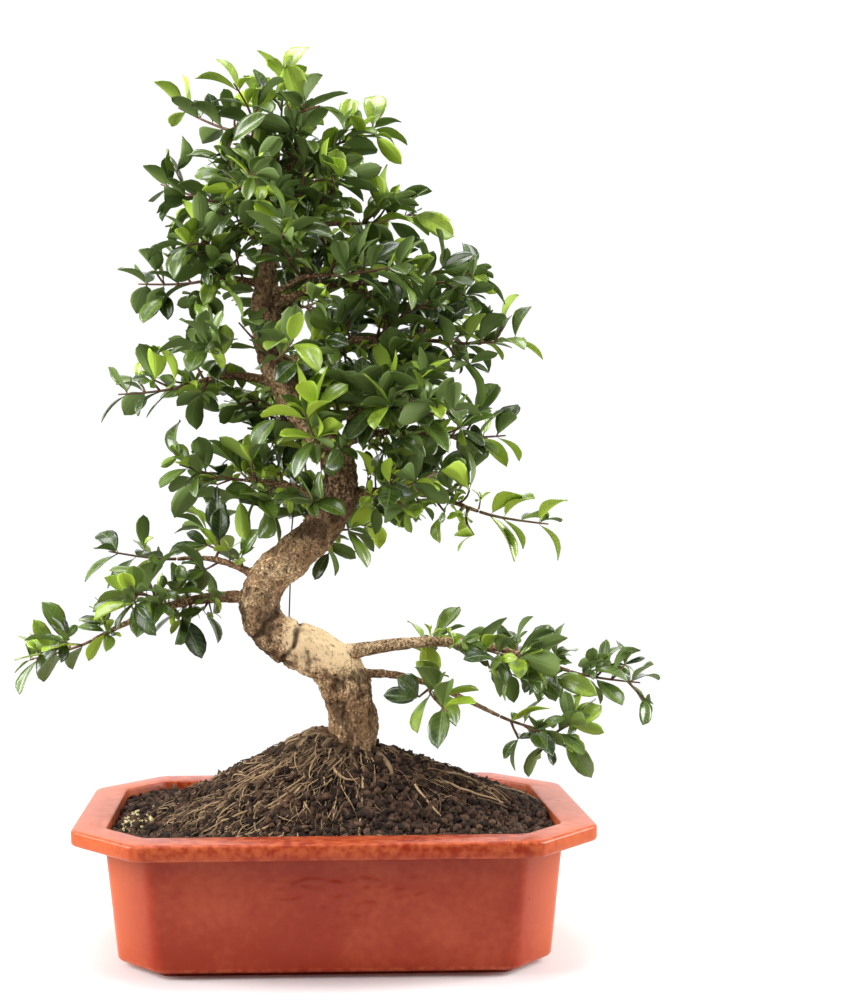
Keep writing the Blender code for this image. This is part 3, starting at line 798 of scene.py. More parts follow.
def fine_copy(node, spacing, smoothing):
    """A CAD node's own shape, remade with evenly spaced points and smoothed."""
    shape = welded(node)
    mesh = bpy.data.meshes.new(node + "_fine")
    shape.to_mesh(mesh)
    shape.free()
    item = placed(node + "_fine", mesh)
    remesh = item.modifiers.new("remesh", "REMESH")
    remesh.mode = "VOXEL"
    remesh.voxel_size = spacing
    smooth = item.modifiers.new("smooth", "SMOOTH")
    smooth.factor = 0.5
    smooth.iterations = smoothing
    made = evaluated_mesh(item)
    bpy.data.objects.remove(item, do_unlink=True)
    return made


def soil_surface(tree, x, y):
    """The point and normal of the root ball's top at x and y, or None off it."""
    hit, normal, _, _ = tree.ray_cast(Vector((x, y, 0.3)), -UP)
    if hit is None or hit.z < SOIL_SIDE:
        return None, None
    return hit, normal


def crumb(source, centre, size, flat):
    """Points and faces of one rough crumb."""
    shape = bmesh.new()
    bmesh.ops.create_icosphere(shape, subdivisions=1, radius=1.0)
    angle = source.uniform(0, 6.28)
    axis = Vector((source.uniform(-1, 1), source.uniform(-1, 1), 0.4)).normalized()
    turn = Matrix.Rotation(angle, 3, axis)
    stretch = Vector((source.uniform(0.7, 1.4), source.uniform(0.6, 1.1), flat))
    offset = Vector((source.uniform(0, 50), source.uniform(0, 50), 0))
    points = []
    for vertex in shape.verts:
        bumpy = 1 + 0.75 * noise.noise(vertex.co * 2.1 + offset)
        points.append(centre + turn @ (vertex.co * stretch) * size * bumpy)
    faces = [tuple(vertex.index for vertex in face.verts) for face in shape.faces]
    shape.free()
    return points, faces


def trunk_foot():
    """Where the trunk comes out of the soil."""
    low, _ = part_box("trunk")
    return middle_of([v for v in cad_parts["trunk"].data.vertices if v.co.z < low.z + 0.03])


def strand(source, tree, foot, angle, start_share, length, radius, lift, stray):
    """A root strand that runs down the mound, laid on its surface."""
    soil_low, soil_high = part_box("soil")
    reach_x = (soil_high.x - soil_low.x) / 2
    reach_y = (soil_high.y - soil_low.y) / 2
    heading = Vector((math.cos(angle) * reach_x, math.sin(angle) * reach_y, 0)).normalized()
    heading.rotate(Matrix.Rotation(source.gauss(0, stray), 3, "Z"))
    place = Vector((foot.x + math.cos(angle) * reach_x * start_share,
                    foot.y + math.sin(angle) * reach_y * start_share, 0))
    bend = source.gauss(0, 0.20 + stray * 0.25)
    route = []
    steps = max(5, int(length / 0.004))
    for k in range(steps + 1):
        hit, normal = soil_surface(tree, place.x, place.y)
        if hit is None:
            break
        arch = math.sin(math.pi * k / steps) * lift
        rise = Vector((0, 0, source.uniform(-1, 1) * radius * 0.4))
        route.append(hit + normal * (radius * 0.5 + arch) + rise)
        heading.rotate(Matrix.Rotation(bend / steps * 3 + source.gauss(0, 0.07), 3, "Z"))
        place = place + heading * length / steps
    if len(route) < 4:
        return None, None
    radii = [radius * (1 - 0.65 * k / len(route)) for k in range(len(route))]
    return route, radii


class BONSAI_OT_root_ball(bpy.types.Operator):
    """Make the root ball's surface"""
    bl_idname = "bonsai.root_ball"
    bl_label = "Root ball"

    def execute(self, context):
        soil = settings(context, "soil")
        mesh = fine_copy("soil", soil.grain, 2)
        tones = []
        normals = [vertex.normal.copy() for vertex in mesh.vertices]
        for vertex, normal in zip(mesh.vertices, normals):
            lumps = noise.fractal(vertex.co * 210, 0.8, 2.1, 4)
            pits = noise.noise(vertex.co * 620)
            tones.append(0.35 * lumps)
            if normal.z > 0.3 and vertex.co.z > SOIL_ROUGH:
                vertex.co += normal * (0.0020 * lumps + 0.0008 * pits)
        store_values(mesh, tone=tones)
        add_piece("root_ball", mesh, [soil_material(soil)], "peat", "soil")
        return {"FINISHED"}


def heading(source):
    """The way a strand sets off from the trunk: more of them to the left."""
    if source.random() < 0.45:
        return source.gauss(math.pi * 1.1, 0.55)
    return source.uniform(0, 2 * math.pi)


class BONSAI_OT_soil_litter(bpy.types.Operator):
    """Make the crumbs, hair roots, bare roots and pale grains on the root ball"""
    bl_idname = "bonsai.soil_litter"
    bl_label = "Soil litter"

    def execute(self, context):
        soil = settings(context, "soil")
        self.source = random.Random(77)
        self.tree = node_tree("soil")
        self.foot = trunk_foot()
        self.low, self.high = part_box("soil")
        for name, fill, material in (("soil_crumbs", self.crumbs, soil_material(soil)),
                                     ("hair_roots", self.fibres, root_material(soil)),
                                     ("surface_roots", self.roots, root_material(soil)),
                                     ("pale_grains", self.grains, grain_material())):
            builder = Builder("tone")
            fill(builder, soil)
            add_piece(name, builder.mesh(name), [material], "peat")
        return {"FINISHED"}

    def crumbs(self, builder, soil):
        """Loose crumbs all over the root ball, most of them small."""
        uniform = self.source.uniform
        while len(builder.points) < soil.crumbs * CRUMB_POINTS:
            x = uniform(self.low.x + 0.003, self.high.x - 0.003)
            y = uniform(self.low.y + 0.003, self.high.y - 0.003)
            hit, normal = soil_surface(self.tree, x, y)
            if hit is None:
                continue
            size = 0.0005 + 0.0021 * self.source.random() ** 2.6
            points, faces = crumb(self.source, hit + normal * size * 0.25, size, uniform(0.4, 0.9))
            builder.add(points, faces, tone=self.source.gauss(0.02, 0.20))

    def fibres(self, builder, soil):
        """Hair roots in clumps that lie the same way."""
        source = self.source
        for number in range(soil.fibres):
            if number % CLUMP == 0:
                angle = heading(source)
                start = source.uniform(0.10, 0.90)
                tone = source.uniform(0.0, 0.9) ** 1.5
            self.add_strand(builder, 5, angle + source.gauss(0, 0.10), start + source.gauss(0, 0.035),
                            (0.006, 0.019), (0.00014, 0.00040), (0.0, 0.0026), 0.30, tone, (0.0, 0.25))

    def roots(self, builder, soil):
        """Bare roots on the mound, and thicker ones round the trunk's foot."""
        source = self.source
        for _ in range(soil.roots):
            self.add_strand(builder, 8, heading(source), source.uniform(0.10, 0.70), (0.014, 0.036),
                            (0.0004, 0.0009), (0.0, 0.0025), 0.30, 0.0, (0.15, 1.0))
        for _ in range(FLARE_ROOTS):
            self.add_strand(builder, 10, heading(source), source.uniform(0.08, 0.13), (0.012, 0.030),
                            (0.0009, 0.0021), None, 0.15, 0.0, (0.15, 0.45))

    def grains(self, builder, soil):
        """Pale grains at the left end."""
        source = self.source
        while len(builder.points) < soil.grains * CRUMB_POINTS:
            x = self.low.x + abs(source.gauss(0, 0.006)) + 0.005
            hit, normal = soil_surface(self.tree, x, source.gauss(-0.018, 0.010))
            if hit is not None:
                builder.add(*crumb(source, hit + normal * 0.0009, source.uniform(0.0008, 0.0015), 0.8))

    def add_strand(self, builder, sides, angle, start, lengths, radii, lifts, stray, tone, tones):
        """One root strand, with its length, radius, lift and tone drawn from ranges."""
        uniform = self.source.uniform
        length, radius = uniform(*lengths), uniform(*radii)
        lift = uniform(*lifts) if lifts else 0.0
        route, thickness = strand(self.source, self.tree, self.foot, angle, start, length, radius, lift,
                                  stray)
        if route:
            builder.add(*tube(route, thickness, sides), tone=tone + uniform(*tones))


# Wood

# Where the trunk's bark changes, as shares of its height: a smooth bend that is also painted paler as painted
# light, a rough elbow and a callus.
BEND_HEIGHT = 0.245
ELBOW_HEIGHT = 0.465
CALLUS_HEIGHT = 0.70
# Rings that squeeze the lower trunk, also painted dark as painted shade: x and z of the middle of each, its
# lean and its depth.
BARK_CREASES = ((-0.0400, 0.1617, 0.85, 1.0), (-0.0228, 0.1522, 1.12, 1.0), (0.0010, 0.1265, 0.25, 0.55))
CREASE_WIDTH = 0.0013
CREASE_REACH = 0.021
CREASE_DEPTH = 0.0017
# Passes that smooth the wood before its bark is raised.
WOOD_SMOOTHING = 9
# The rough collar above the soil, from the trunk's lowest point.
COLLAR_HEIGHT = 0.060
# How far the collar, the elbow and the bend reach up and down, and how far the callus does.
BAND_REACH = 0.018
CALLUS_REACH = 0.020
# The bend is smooth and painted paler, as painted light, to the right of here.
BEND_SIDE = -0.026


def girth_at(tree, point, normal):
    """About how thick the wood is under a surface point."""
    hit, _, _, distance = tree.ray_cast(point - normal * 0.0002, -normal)
    return distance if hit is not None else 0.0


def band(away, reach):
    """How much of a soft band there is at a distance from its middle, from 0 to 1."""
    return math.exp(-(away / reach) ** 2)


def crease_at(point):
    """How deep a point lies in one of the rings that squeeze the lower trunk, from 0 to 1."""
    deepest = 0.0
    for x, z, lean, depth in BARK_CREASES:
        across = (point.x - x) * math.sin(lean) - (point.z - z) * math.cos(lean)
        across += 0.0034 * noise.noise(point * 95) + 0.05 * point.y
        along = (point.x - x) * math.cos(lean) + (point.z - z) * math.sin(lean)
        if abs(along) < CREASE_REACH:
            deepest = max(deepest, depth * band(across, CREASE_WIDTH))
    return deepest * clamped(0.75 + 1.1 * noise.noise(point * 160), 0.15)


class BONSAI_OT_wood(bpy.types.Operator):
    """Make the trunk and its limbs with their bark"""
    bl_idname = "bonsai.wood"
    bl_label = "Wood"

    def execute(self, context):
        wood = settings(context, "wood")
        mesh = fine_copy("trunk", wood.fineness, WOOD_SMOOTHING)
        tree = node_tree("trunk")
        low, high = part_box("trunk")
        bend, elbow, callus = (low.z + (high.z - low.z) * share
                               for share in (BEND_HEIGHT, ELBOW_HEIGHT, CALLUS_HEIGHT))
        relief, rough, thin, pinch, fresh = [], [], [], [], []
        normals = [vertex.normal.copy() for vertex in mesh.vertices]
        for vertex, normal in zip(mesh.vertices, normals):
            point = vertex.co
            girth = girth_at(tree, point, normal)
            size = clamped((girth - 0.002) / 0.015)
            callus_share = band(point.z - callus, CALLUS_REACH) * size
            elbow_share = band(point.z - elbow, BAND_REACH) * size
            collar_share = band(point.z - low.z - COLLAR_HEIGHT, BAND_REACH) * size
            smooth_and_lit_bend = band(point.z - bend, BAND_REACH) * clamped((point.x - BEND_SIDE) / 0.008) * size
            squeezed = crease_at(point) * size
            ridged = noise.fractal(Vector((point.x * 150, point.y * 150, point.z * 75)), 0.8, 2.1, 5)
            knobs = noise.noise(point * 75)
            flakes = noise.turbulence(point * 330, 3, False)
            depth = wood.relief * (0.22 + 0.78 * size) * (1 - 0.60 * smooth_and_lit_bend)
            rise = depth * (0.42 * ridged + 0.62 * knobs * size + 0.26 * (flakes - 0.5))
            rise += callus_share * (0.0030 * knobs + 0.0012 * ridged)
            rise += 0.0012 * (elbow_share + collar_share) * ridged - CREASE_DEPTH * squeezed
            vertex.co = point + normal * rise
            # How high or sunken the bark is, also used for the painted shade in its hollows.
            relief.append(0.5 + rise / (wood.relief * 2.4))
            rough.append(min(1.0, callus_share + elbow_share))
            thin.append(1 - clamped((girth - 0.003) / 0.006))
            # Crease depth, for the painted shade in the creases.
            pinch.append(squeezed)
            # Smooth young bark and painted light at the bend.
            fresh.append(smooth_and_lit_bend)
        store_values(mesh, relief=relief, rough=rough, thin=thin, pinch=pinch, fresh=fresh)
        add_piece("trunk_and_limbs", mesh, [bark_material(wood)], "bark", "trunk")
        return {"FINISHED"}


class BONSAI_OT_training_wire(bpy.types.Operator):
    """Finish the taut training wire, which keeps its CAD shape"""
    bl_idname = "bonsai.training_wire"
    bl_label = "Training wire"

    def execute(self, context):
        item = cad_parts["training_wire"]
        material = wire_material()
        if not item.data.materials:
            item.data.materials.append(material)
        for slot in item.material_slots:
            slot.material = material
        return {"FINISHED"}


# Leaves

# A leaf's corners in the CAD lie in pairs closer than this, and a twig's ring is narrower than that.
MATE_REACH = 0.0012
RING_REACH = 0.0022
# Points along and across a leaf, its stalk's share of its length, and the stalk's share of its width.
LEAF_RINGS = 12
LEAF_COLUMNS = 6
PETIOLE = 0.07
STALK = 0.055
# How blunt a leaf's tip is.
LEAF_TAPER = 0.56
# Turn from one leaf of a rosette to the next.
LEAF_TURN = 2.4
# Leaves further apart than this can't cross.
LEAF_REACH = 0.030
LEAF_VALUES = ("age", "along", "across", "under", "tone")
# Steps and radius of a shoot's twig, the places of its spurs along it, and the radii of a spur.
TWIG_STEPS = 22
TWIG_RADIUS = 0.00085
SPUR_PLACES = (0.22, 0.42, 0.60, 0.80, 1.0)
SPUR_RADII = (0.00075, 0.0007, 0.00065, 0.0006, 0.00058, 0.00055)
BUD_RADII = (0.0006, 0.0005, 0.0004)
BUD_LEAF = 0.0085
# Spurs on the limbs: the thickest wood that carries them, and where they stay short.
SPUR_GIRTH = 0.0085
LOW_SPURS_BELOW = 0.205
LOW_SPUR_SHARE = 0.38
BARE_TRUNK_SIDE = 0.045
YOUNG_SPUR_SHARE = 0.14
BUD_SHARE = 0.8
SPUR_BANDS = 6
# The crown's outline: at each height, how far the leaves reach to the left and to the right.
CROWN_OUTLINE = (
    (0.12, 0.172, 0.172), (0.185, 0.160, 0.165), (0.205, 0.130, 0.085), (0.230, 0.098, 0.080),
    (0.270, 0.085, 0.092), (0.305, 0.108, 0.108), (0.345, 0.100, 0.104), (0.380, 0.100, 0.074),
    (0.415, 0.085, 0.050), (0.440, 0.066, 0.026), (0.475, 0.038, 0.002))
# Open air between the pads of leaves: low and high x, low and high z.
GAPS = ((0.030, 0.085, 0.090, 0.143), (0.030, 0.100, 0.163, 0.205), (-0.175, -0.110, 0.100, 0.140),
        (-0.175, -0.100, 0.200, 0.250), (-0.075, -0.045, 0.195, 0.228), (0.075, 0.135, 0.190, 0.255))
# Leaves grow brighter above this height, over this much more.
BRIGHT_ABOVE = 0.440
BRIGHT_OVER = 0.03
# The window in front of the callus.
CALLUS_WINDOW = (-0.052, -0.008, 0.292, 0.352)


class Leaf:
    """One leaf's place: its root, the way it points, its level side, and its length and width."""

    def __init__(self, root, tip, side, width):
        self.root = root
        self.length = (tip - root).length
        self.along = (tip - root).normalized()
        self.side = (side - self.along * side.dot(self.along)).normalized()
        self.width = width

    def at(self, share):
        """A point on the leaf's middle line."""
        return self.root + self.along * self.length * share

    @property
    def face(self):
        """The way the leaf's upper side looks."""
        face = self.side.cross(self.along)
        return -face if face.z < 0 else face


def read_shoot(node):
    """A shoot's leaves and the middle line of its twig, read from its CAD solid."""
    shape = welded(node)
    near = {v: [e.other_vert(v) for e in v.link_edges if e.calc_length() < MATE_REACH] for v in shape.verts}
    corner = {v for v in shape.verts if len(near[v]) == 1 and len(near[near[v][0]]) == 1}
    leaves = []
    seen = set()
    for first in sorted(corner, key=lambda v: tuple(round(c, 6) for c in v.co)):
        if first in seen:
            continue
        group, waiting = [], [first]
        while waiting:
            vertex = waiting.pop()
            if vertex in seen:
                continue
            seen.add(vertex)
            group.append(vertex)
            beside = [edge.other_vert(vertex) for edge in vertex.link_edges]
            waiting += [v for v in beside if v in corner]
        broad = [v for v in group if any(e.other_vert(v) not in corner for e in v.link_edges)]
        root = {e.other_vert(v) for v in broad for e in v.link_edges if e.other_vert(v) not in corner}
        tip = [v for v in group if v not in broad]
        if len(broad) != 4 or len(tip) != 4:
            continue
        far = max(broad, key=lambda v: (v.co - broad[0].co).length)
        span = far.co - broad[0].co
        leaves.append(Leaf(middle_of(root), middle_of(tip), span.normalized(), span.length))
    line = twig_line([v for v in shape.verts if v not in corner])
    shape.free()
    return leaves, line


def twig_line(members):
    """The middles of a twig's rings, from its thick seated end to its tip."""
    inside = set(members)

    def layers_from(start):
        """The twig's points in layers, by how many edges they are from the start."""
        reached = set(start)
        layers = [list(start)]
        while True:
            fresh = []
            for vertex in layers[-1]:
                for edge in vertex.link_edges:
                    other = edge.other_vert(vertex)
                    if other in inside and other not in reached:
                        reached.add(other)
                        fresh.append(other)
            if not fresh:
                return layers
            layers.append(fresh)

    def end_ring(vertex):
        """All points of the ring that a vertex belongs to."""
        return [v for v in members if (v.co - vertex.co).length < RING_REACH]

    first = layers_from([min(members, key=lambda v: v.co.z)])[-1][0]
    rings = layers_from(end_ring(first))
    middles = [middle_of(ring) for ring in rings]
    spread = [max((v.co - middle).length for v in ring) for ring, middle in zip(rings, middles)]
    if spread[0] < spread[-1]:
        middles.reverse()
    return middles


def blade_width(u, broad):
    """Half width of a leaf at a share of its length, as a share of its greatest half width."""
    power = LEAF_TAPER * broad / (1 - broad)
    b = max(0.0, (u - PETIOLE) / (1 - PETIOLE))
    peak = broad ** power * (1 - broad) ** LEAF_TAPER
    blade = b ** power * max(0.0, 1 - b) ** LEAF_TAPER / peak
    return max(STALK * (1 - 0.6 * u), blade)


def add_leaf(builder, source, leaf, thickness, age):
    """Add one modelled leaf: folded on its midrib, arched, waved and toothed at its tip."""
    face = leaf.face
    side = leaf.along.cross(face).normalized()
    fold = source.uniform(0.12, 0.60)
    arch = source.uniform(0.02, 0.13)
    wave = source.uniform(0.02, 0.10)
    phase = source.uniform(0, 6.28)
    twist = source.uniform(-0.40, 0.40)
    broad = source.uniform(0.50, 0.64)
    half = leaf.width / 2 * source.uniform(0.92, 1.10)
    top, alongs, acrosses = [], [], []
    for i in range(LEAF_RINGS + 1):
        u = math.sin(math.pi / 2 * i / LEAF_RINGS) ** 1.25
        width = blade_width(u, broad) * half
        if 0.55 < u < 0.97:
            width *= 1.025 if i % 2 else 0.975
        turn = twist * u
        level = side * math.cos(turn) + face * math.sin(turn)
        lift = face * math.cos(turn) - side * math.sin(turn)
        middle = leaf.at(u) + face * leaf.length * arch * math.sin(math.pi * u)
        for j in range(LEAF_COLUMNS + 1):
            v = 2 * j / LEAF_COLUMNS - 1
            rise = fold * abs(v) * width + wave * half * v * v * math.sin(7 * u + phase + 2 * v)
            back = leaf.along * (-0.045 * leaf.length * v * v * u ** 6)
            top.append(middle + level * v * width + lift * rise + back)
            alongs.append(u)
            acrosses.append(v)
    columns = LEAF_COLUMNS + 1
    count = len(top)
    rim = {i * columns + j for i in range(LEAF_RINGS + 1) for j in range(columns)
           if i in (0, LEAF_RINGS) or j in (0, LEAF_COLUMNS)}
    points = [point + (Vector() if k in rim else face * thickness / 2) for k, point in enumerate(top)]
    points += [point - face * thickness * (0.12 if k in rim else 0.5) for k, point in enumerate(top)]
    faces = []
    for i in range(LEAF_RINGS):
        for j in range(LEAF_COLUMNS):
            a = i * columns + j
            b, c, d = a + 1, a + columns + 1, a + columns
            faces.append((a, b, c, d))
            faces.append((d + count, c + count, b + count, a + count))
    border = ([j for j in range(columns)] + [i * columns + LEAF_COLUMNS for i in range(1, LEAF_RINGS + 1)]
              + [LEAF_RINGS * columns + j for j in range(LEAF_COLUMNS - 1, -1, -1)]
              + [i * columns for i in range(LEAF_RINGS - 1, 0, -1)])
    for k, a in enumerate(border):
        b = border[(k + 1) % len(border)]
        faces.append((b, a, a + count, b + count))
    builder.add(points, faces, slot=0, age=age, along=alongs * 2, across=acrosses * 2,
                under=[0.0] * count + [1.0] * count, tone=0.0)


class Canopy:
    """The leaves made so far, for keeping new ones clear of them."""

    def __init__(self, fixed):
        self.fixed = fixed
        self.placed = []

    def outline(self, leaf):
        """A thin kite in a leaf's place."""
        half = leaf.side * leaf.width / 2
        corners = [leaf.at(0.25), leaf.at(0.65) + half, leaf.at(1.0), leaf.at(0.65) - half]
        return BVHTree.FromPolygons(corners, [(0, 1, 2), (0, 2, 3)])

    def fits(self, leaf):
        """Whether a leaf crosses no wood and no other leaf, and if so take its place."""
        kite = self.outline(leaf)
        middle = leaf.at(0.6)
        if any(kite.overlap(tree) for tree in self.fixed):
            return False
        for other_middle, other in self.placed:
            if (other_middle - middle).length < LEAF_REACH and kite.overlap(other):
                return False
        self.placed.append((middle, kite))
        return True

    def take(self, leaf):
        """Note a leaf that stands where the CAD has it."""
        self.placed.append((leaf.at(0.6), self.outline(leaf)))


def spur_leaves(source, base, direction, count, length):
    """Leaves in a loose rosette round the end of a spur."""
    side = across_of(direction)
    other = direction.cross(side).normalized()
    turn = source.uniform(0, 6.28)
    made = []
    for k in range(count):
        angle = turn + LEAF_TURN * k
        out = side * math.cos(angle) + other * math.sin(angle)
        along = (out * source.uniform(0.55, 1.0) + direction * source.uniform(0.2, 0.9)
                 + UP * source.uniform(-0.15, 0.35)).normalized()
        size = length * source.uniform(0.45, 1.0) ** 1.4 * 1.35
        level = across_of(along)
        roll = source.gauss(0, 0.75)
        level = level * math.cos(roll) + along.cross(level) * math.sin(roll)
        made.append(Leaf(base, base + along * size, level, size * source.uniform(0.38, 0.52)))
    return made


def outline_reach(height):
    """How far the crown's leaves reach to the left and right at a height."""
    for (low, *reach), (high, *high_reach) in zip(CROWN_OUTLINE, CROWN_OUTLINE[1:]):
        if height <= high:
            share = max(0.0, (height - low) / (high - low))
            return [a + (b - a) * share for a, b in zip(reach, high_reach)]
    return CROWN_OUTLINE[-1][1:]


def in_range(point, low_x, high_x, low_z, high_z):
    """Whether a point is inside a window, seen from the front."""
    return low_x < point.x < high_x and low_z < point.z < high_z


def in_outline(point):
    """Whether a point is inside the crown's outline and in none of its gaps."""
    left, right = outline_reach(point.z)
    middle, reach = (right - left) / 2, (right + left) / 2
    if ((point.x - middle) / reach) ** 2 + (point.y / (reach * 0.78)) ** 2 > 1:
        return False
    if point.y < 0.015 and in_range(point, *CALLUS_WINDOW):
        return False
    return not any(in_range(point, *gap) for gap in GAPS)


def inside_room(leaf, low, high, margin):
    """Whether a leaf's tip stays within the room the CAD model takes."""
    tip = leaf.at(1.0)
    return all(low[i] - margin < tip[i] < high[i] + margin for i in range(3))


def limb_places(source, tree, count):
    """Places on the limbs and the thin top of the trunk: each a point and the way out of the wood."""
    shape = welded("trunk")
    faces = list(shape.faces)
    totals = list(accumulate(face.calc_area() for face in faces))
    places = []
    while len(places) < count:
        face = source.choices(faces, cum_weights=totals)[0]
        u, v = sorted((source.random(), source.random()))
        a, b, c = (vertex.co for vertex in face.verts)
        point = a * u + b * (v - u) + c * (1 - v)
        if 0 < girth_at(tree, point, face.normal) < SPUR_GIRTH:
            places.append((point, face.normal.copy()))
    shape.free()
    return places


def spur_wanted(source, point, normal):
    """Whether a spur may stand at a place: few under the crown, none before the trunk's bare parts."""
    if point.z < LOW_SPURS_BELOW:
        bare = 0.0 < point.x < BARE_TRUNK_SIDE or (point.x > 0 and normal.z > 0.2)
        return not bare and source.random() < LOW_SPUR_SHARE
    return point.y > 0.004 or not in_range(point, *CALLUS_WINDOW)


class BONSAI_OT_foliage(bpy.types.Operator):
    """Make every shoot with its twig, spurs and leaves"""
    bl_idname = "bonsai.foliage"
    bl_label = "Foliage"

    def execute(self, context):
        self.look = settings(context, "leaf")
        self.materials = [leaf_material(self.look), twig_material(settings(context, "wood"))]
        wood = node_tree("trunk")
        self.canopy = Canopy([wood, node_tree("soil"), node_tree("pot")])
        shoots = {node: read_shoot(node) for node in SHOOTS}
        for leaves, _ in shoots.values():
            for leaf in leaves:
                self.canopy.take(leaf)
        for number, node in enumerate(SHOOTS):
            self.make_shoot(node, random.Random(9000 + number), *shoots[node])
        self.make_limb_spurs(wood)
        return {"FINISHED"}

    def make_shoot(self, node, source, leaves, line):
        """One shoot: its twig, the leaves that the CAD has, and short spurs between them."""
        builder = Builder(*LEAF_VALUES)
        young = YOUNG_SHOOTS.get(node, 0.08)
        path = curve_points(line, TWIG_STEPS)
        radii = [TWIG_RADIUS * (1 - 0.5 * k / TWIG_STEPS) for k in range(TWIG_STEPS + 1)]
        builder.add(*tube(path, radii, 8), slot=1, tone=young * 0.6)
        for leaf in leaves:
            age = leaf_age(source, young + brightening(leaf.at(1.0).z))
            add_leaf(builder, source, leaf, self.look.thickness, age)
        for place in SPUR_PLACES:
            index = min(TWIG_STEPS - 1, int(place * TWIG_STEPS))
            along = (path[index + 1] - path[index]).normalized()
            side = across_of(along)
            turn = source.uniform(0, 6.28)
            out = side * math.cos(turn) + along.cross(side) * math.sin(turn)
            if place == 1.0:
                direction, reach, fresh = along + out * 0.1, 0.002, min(1.0, young + 0.15)
            else:
                direction = along * 0.6 + out * 0.8 + UP * 0.25
                reach, fresh = source.uniform(0.006, 0.013), young
            self.add_spur(builder, source, path[index], direction, reach, 6, fresh)
        add_piece("leafy_" + node, builder.mesh("leafy_" + node), self.materials, "leaf_green", node)

    def make_limb_spurs(self, wood):
        """Short spurs on the limbs themselves, in pieces by height."""
        source = random.Random(515)
        low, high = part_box("trunk")
        builders = [Builder(*LEAF_VALUES) for _ in range(SPUR_BANDS)]
        for point, normal in limb_places(source, wood, self.look.spurs):
            if not spur_wanted(source, point, normal):
                continue
            level = min(SPUR_BANDS - 1, int(SPUR_BANDS * (point.z - low.z) / (high.z - low.z)))
            away = Vector((point.x, point.y, 0))
            away = away.normalized() if away.length > 0.01 else Vector()
            direction = normal * 0.75 + away * 0.35 + UP * 0.30
            reach = source.uniform(*((0.006, 0.022) if point.z > LOW_SPURS_BELOW else (0.004, 0.010)))
            leaves = source.choice((4, 5, 6, 7))
            young = 0.5 if source.random() < YOUNG_SPUR_SHARE else 0.04
            start = point - normal * 0.0004
            self.add_spur(builders[level], source, start, direction, reach, leaves, young)
            if source.random() < BUD_SHARE:
                self.add_bud(builders[level], source, point, normal)
        for level, builder in enumerate(builders):
            if builder.points:
                name = f"limb_spurs_{level + 1}"
                add_piece(name, builder.mesh(name), self.materials, "leaf_green")

    def add_bud(self, builder, source, point, normal):
        """A tuft of tiny new leaves beside a spur."""
        side = across_of(normal)
        start = point + (side * source.uniform(-1, 1) + normal.cross(side) * source.uniform(-1, 1)) * 0.002
        end = start + (normal + UP * 0.4).normalized() * source.uniform(0.002, 0.006)
        stalk = tube([start - normal * 0.0006, start.lerp(end, 0.5), end], BUD_RADII, 6)
        kept = [leaf for leaf in spur_leaves(source, end, (end - start).normalized(), 4, BUD_LEAF)
                if self.canopy.fits(leaf)]
        if kept:
            builder.add(*stalk, slot=1, tone=0.5)
        for leaf in kept:
            add_leaf(builder, source, leaf, self.look.thickness * 0.7, source.uniform(0.7, 1.0))

    def add_spur(self, builder, source, start, direction, reach, count, young):
        """A short side spur with its rosette, where there is room for two leaves or more."""
        direction = direction.normalized()
        end = start + direction * reach
        kept = [leaf for leaf in spur_leaves(source, end, direction, count, self.look.spur_leaf)
                if inside_room(leaf, *CAD_BOX, 0.004) and in_outline(leaf.at(1.0)) and self.canopy.fits(leaf)]
        if len(kept) < 2:
            return
        bend = across_of(direction) * reach * source.uniform(-0.12, 0.12)
        route = curve_points([start, start + direction * reach * 0.5 + bend, end], len(SPUR_RADII) - 1)
        builder.add(*tube(route, SPUR_RADII, 6), slot=1, tone=young * 0.8)
        young += brightening(end.z)
        for leaf in kept:
            add_leaf(builder, source, leaf, self.look.thickness, leaf_age(source, young))


def brightening(height):
    """How much younger leaves look near the top of the crown."""
    return max(0.0, (height - BRIGHT_ABOVE) / BRIGHT_OVER)


def leaf_age(source, young):
    """How young a leaf looks, from 0, old and dark, to 1, new and bright."""
    if source.random() < young:
        return source.uniform(0.62, 1.0)
    return min(0.88, abs(source.gauss(0.14, 0.34)))


# Stage

# Panel lights: the name of each, where it stands and its size.
PANELS = (("top", (-0.10, 0.05, 1.75), (1.0, 1.0)), ("left", (-1.15, -0.15, 0.62), (0.6, 0.9)),
          ("right", (1.15, -0.05, 0.55), (0.6, 0.9)), ("back", (0.0, 1.30, 0.55), (2.4, 1.1)),
          ("front", (-0.75, -1.05, 1.00), (0.9, 0.9)))
LIGHT_AIM = Vector((0.0, 0.0, 0.20))
# The floor is a disc, solid up to one distance from the middle and gone from another on.
FLOOR_RADIUS = 1.6
FLOOR_STEPS = 96
FLOOR_SOLID = 0.12
FLOOR_GONE = 0.46
# Brightness of the surround as it is seen.
SURROUND_SEEN = 1.05


def add_light(name, place, size, power):
    """A soft panel light at a place, turned to the object."""
    data = bpy.data.lights.new(name, "AREA")
    data.shape = "RECTANGLE"
    data.size, data.size_y = size
    data.energy = power
    item = placed(name, data)
    item.location = place
    item.rotation_euler = (LIGHT_AIM - Vector(place)).to_track_quat("-Z", "Y").to_euler()
    return item


def keep_off(light, item):
    """Keep a light off one object, so that its contact shadow stays."""
    others = bpy.data.collections.new(light.name + "_skips")
    others.objects.link(item)
    others.collection_objects[0].light_linking.link_state = "EXCLUDE"
    light.light_linking.receiver_collection = others


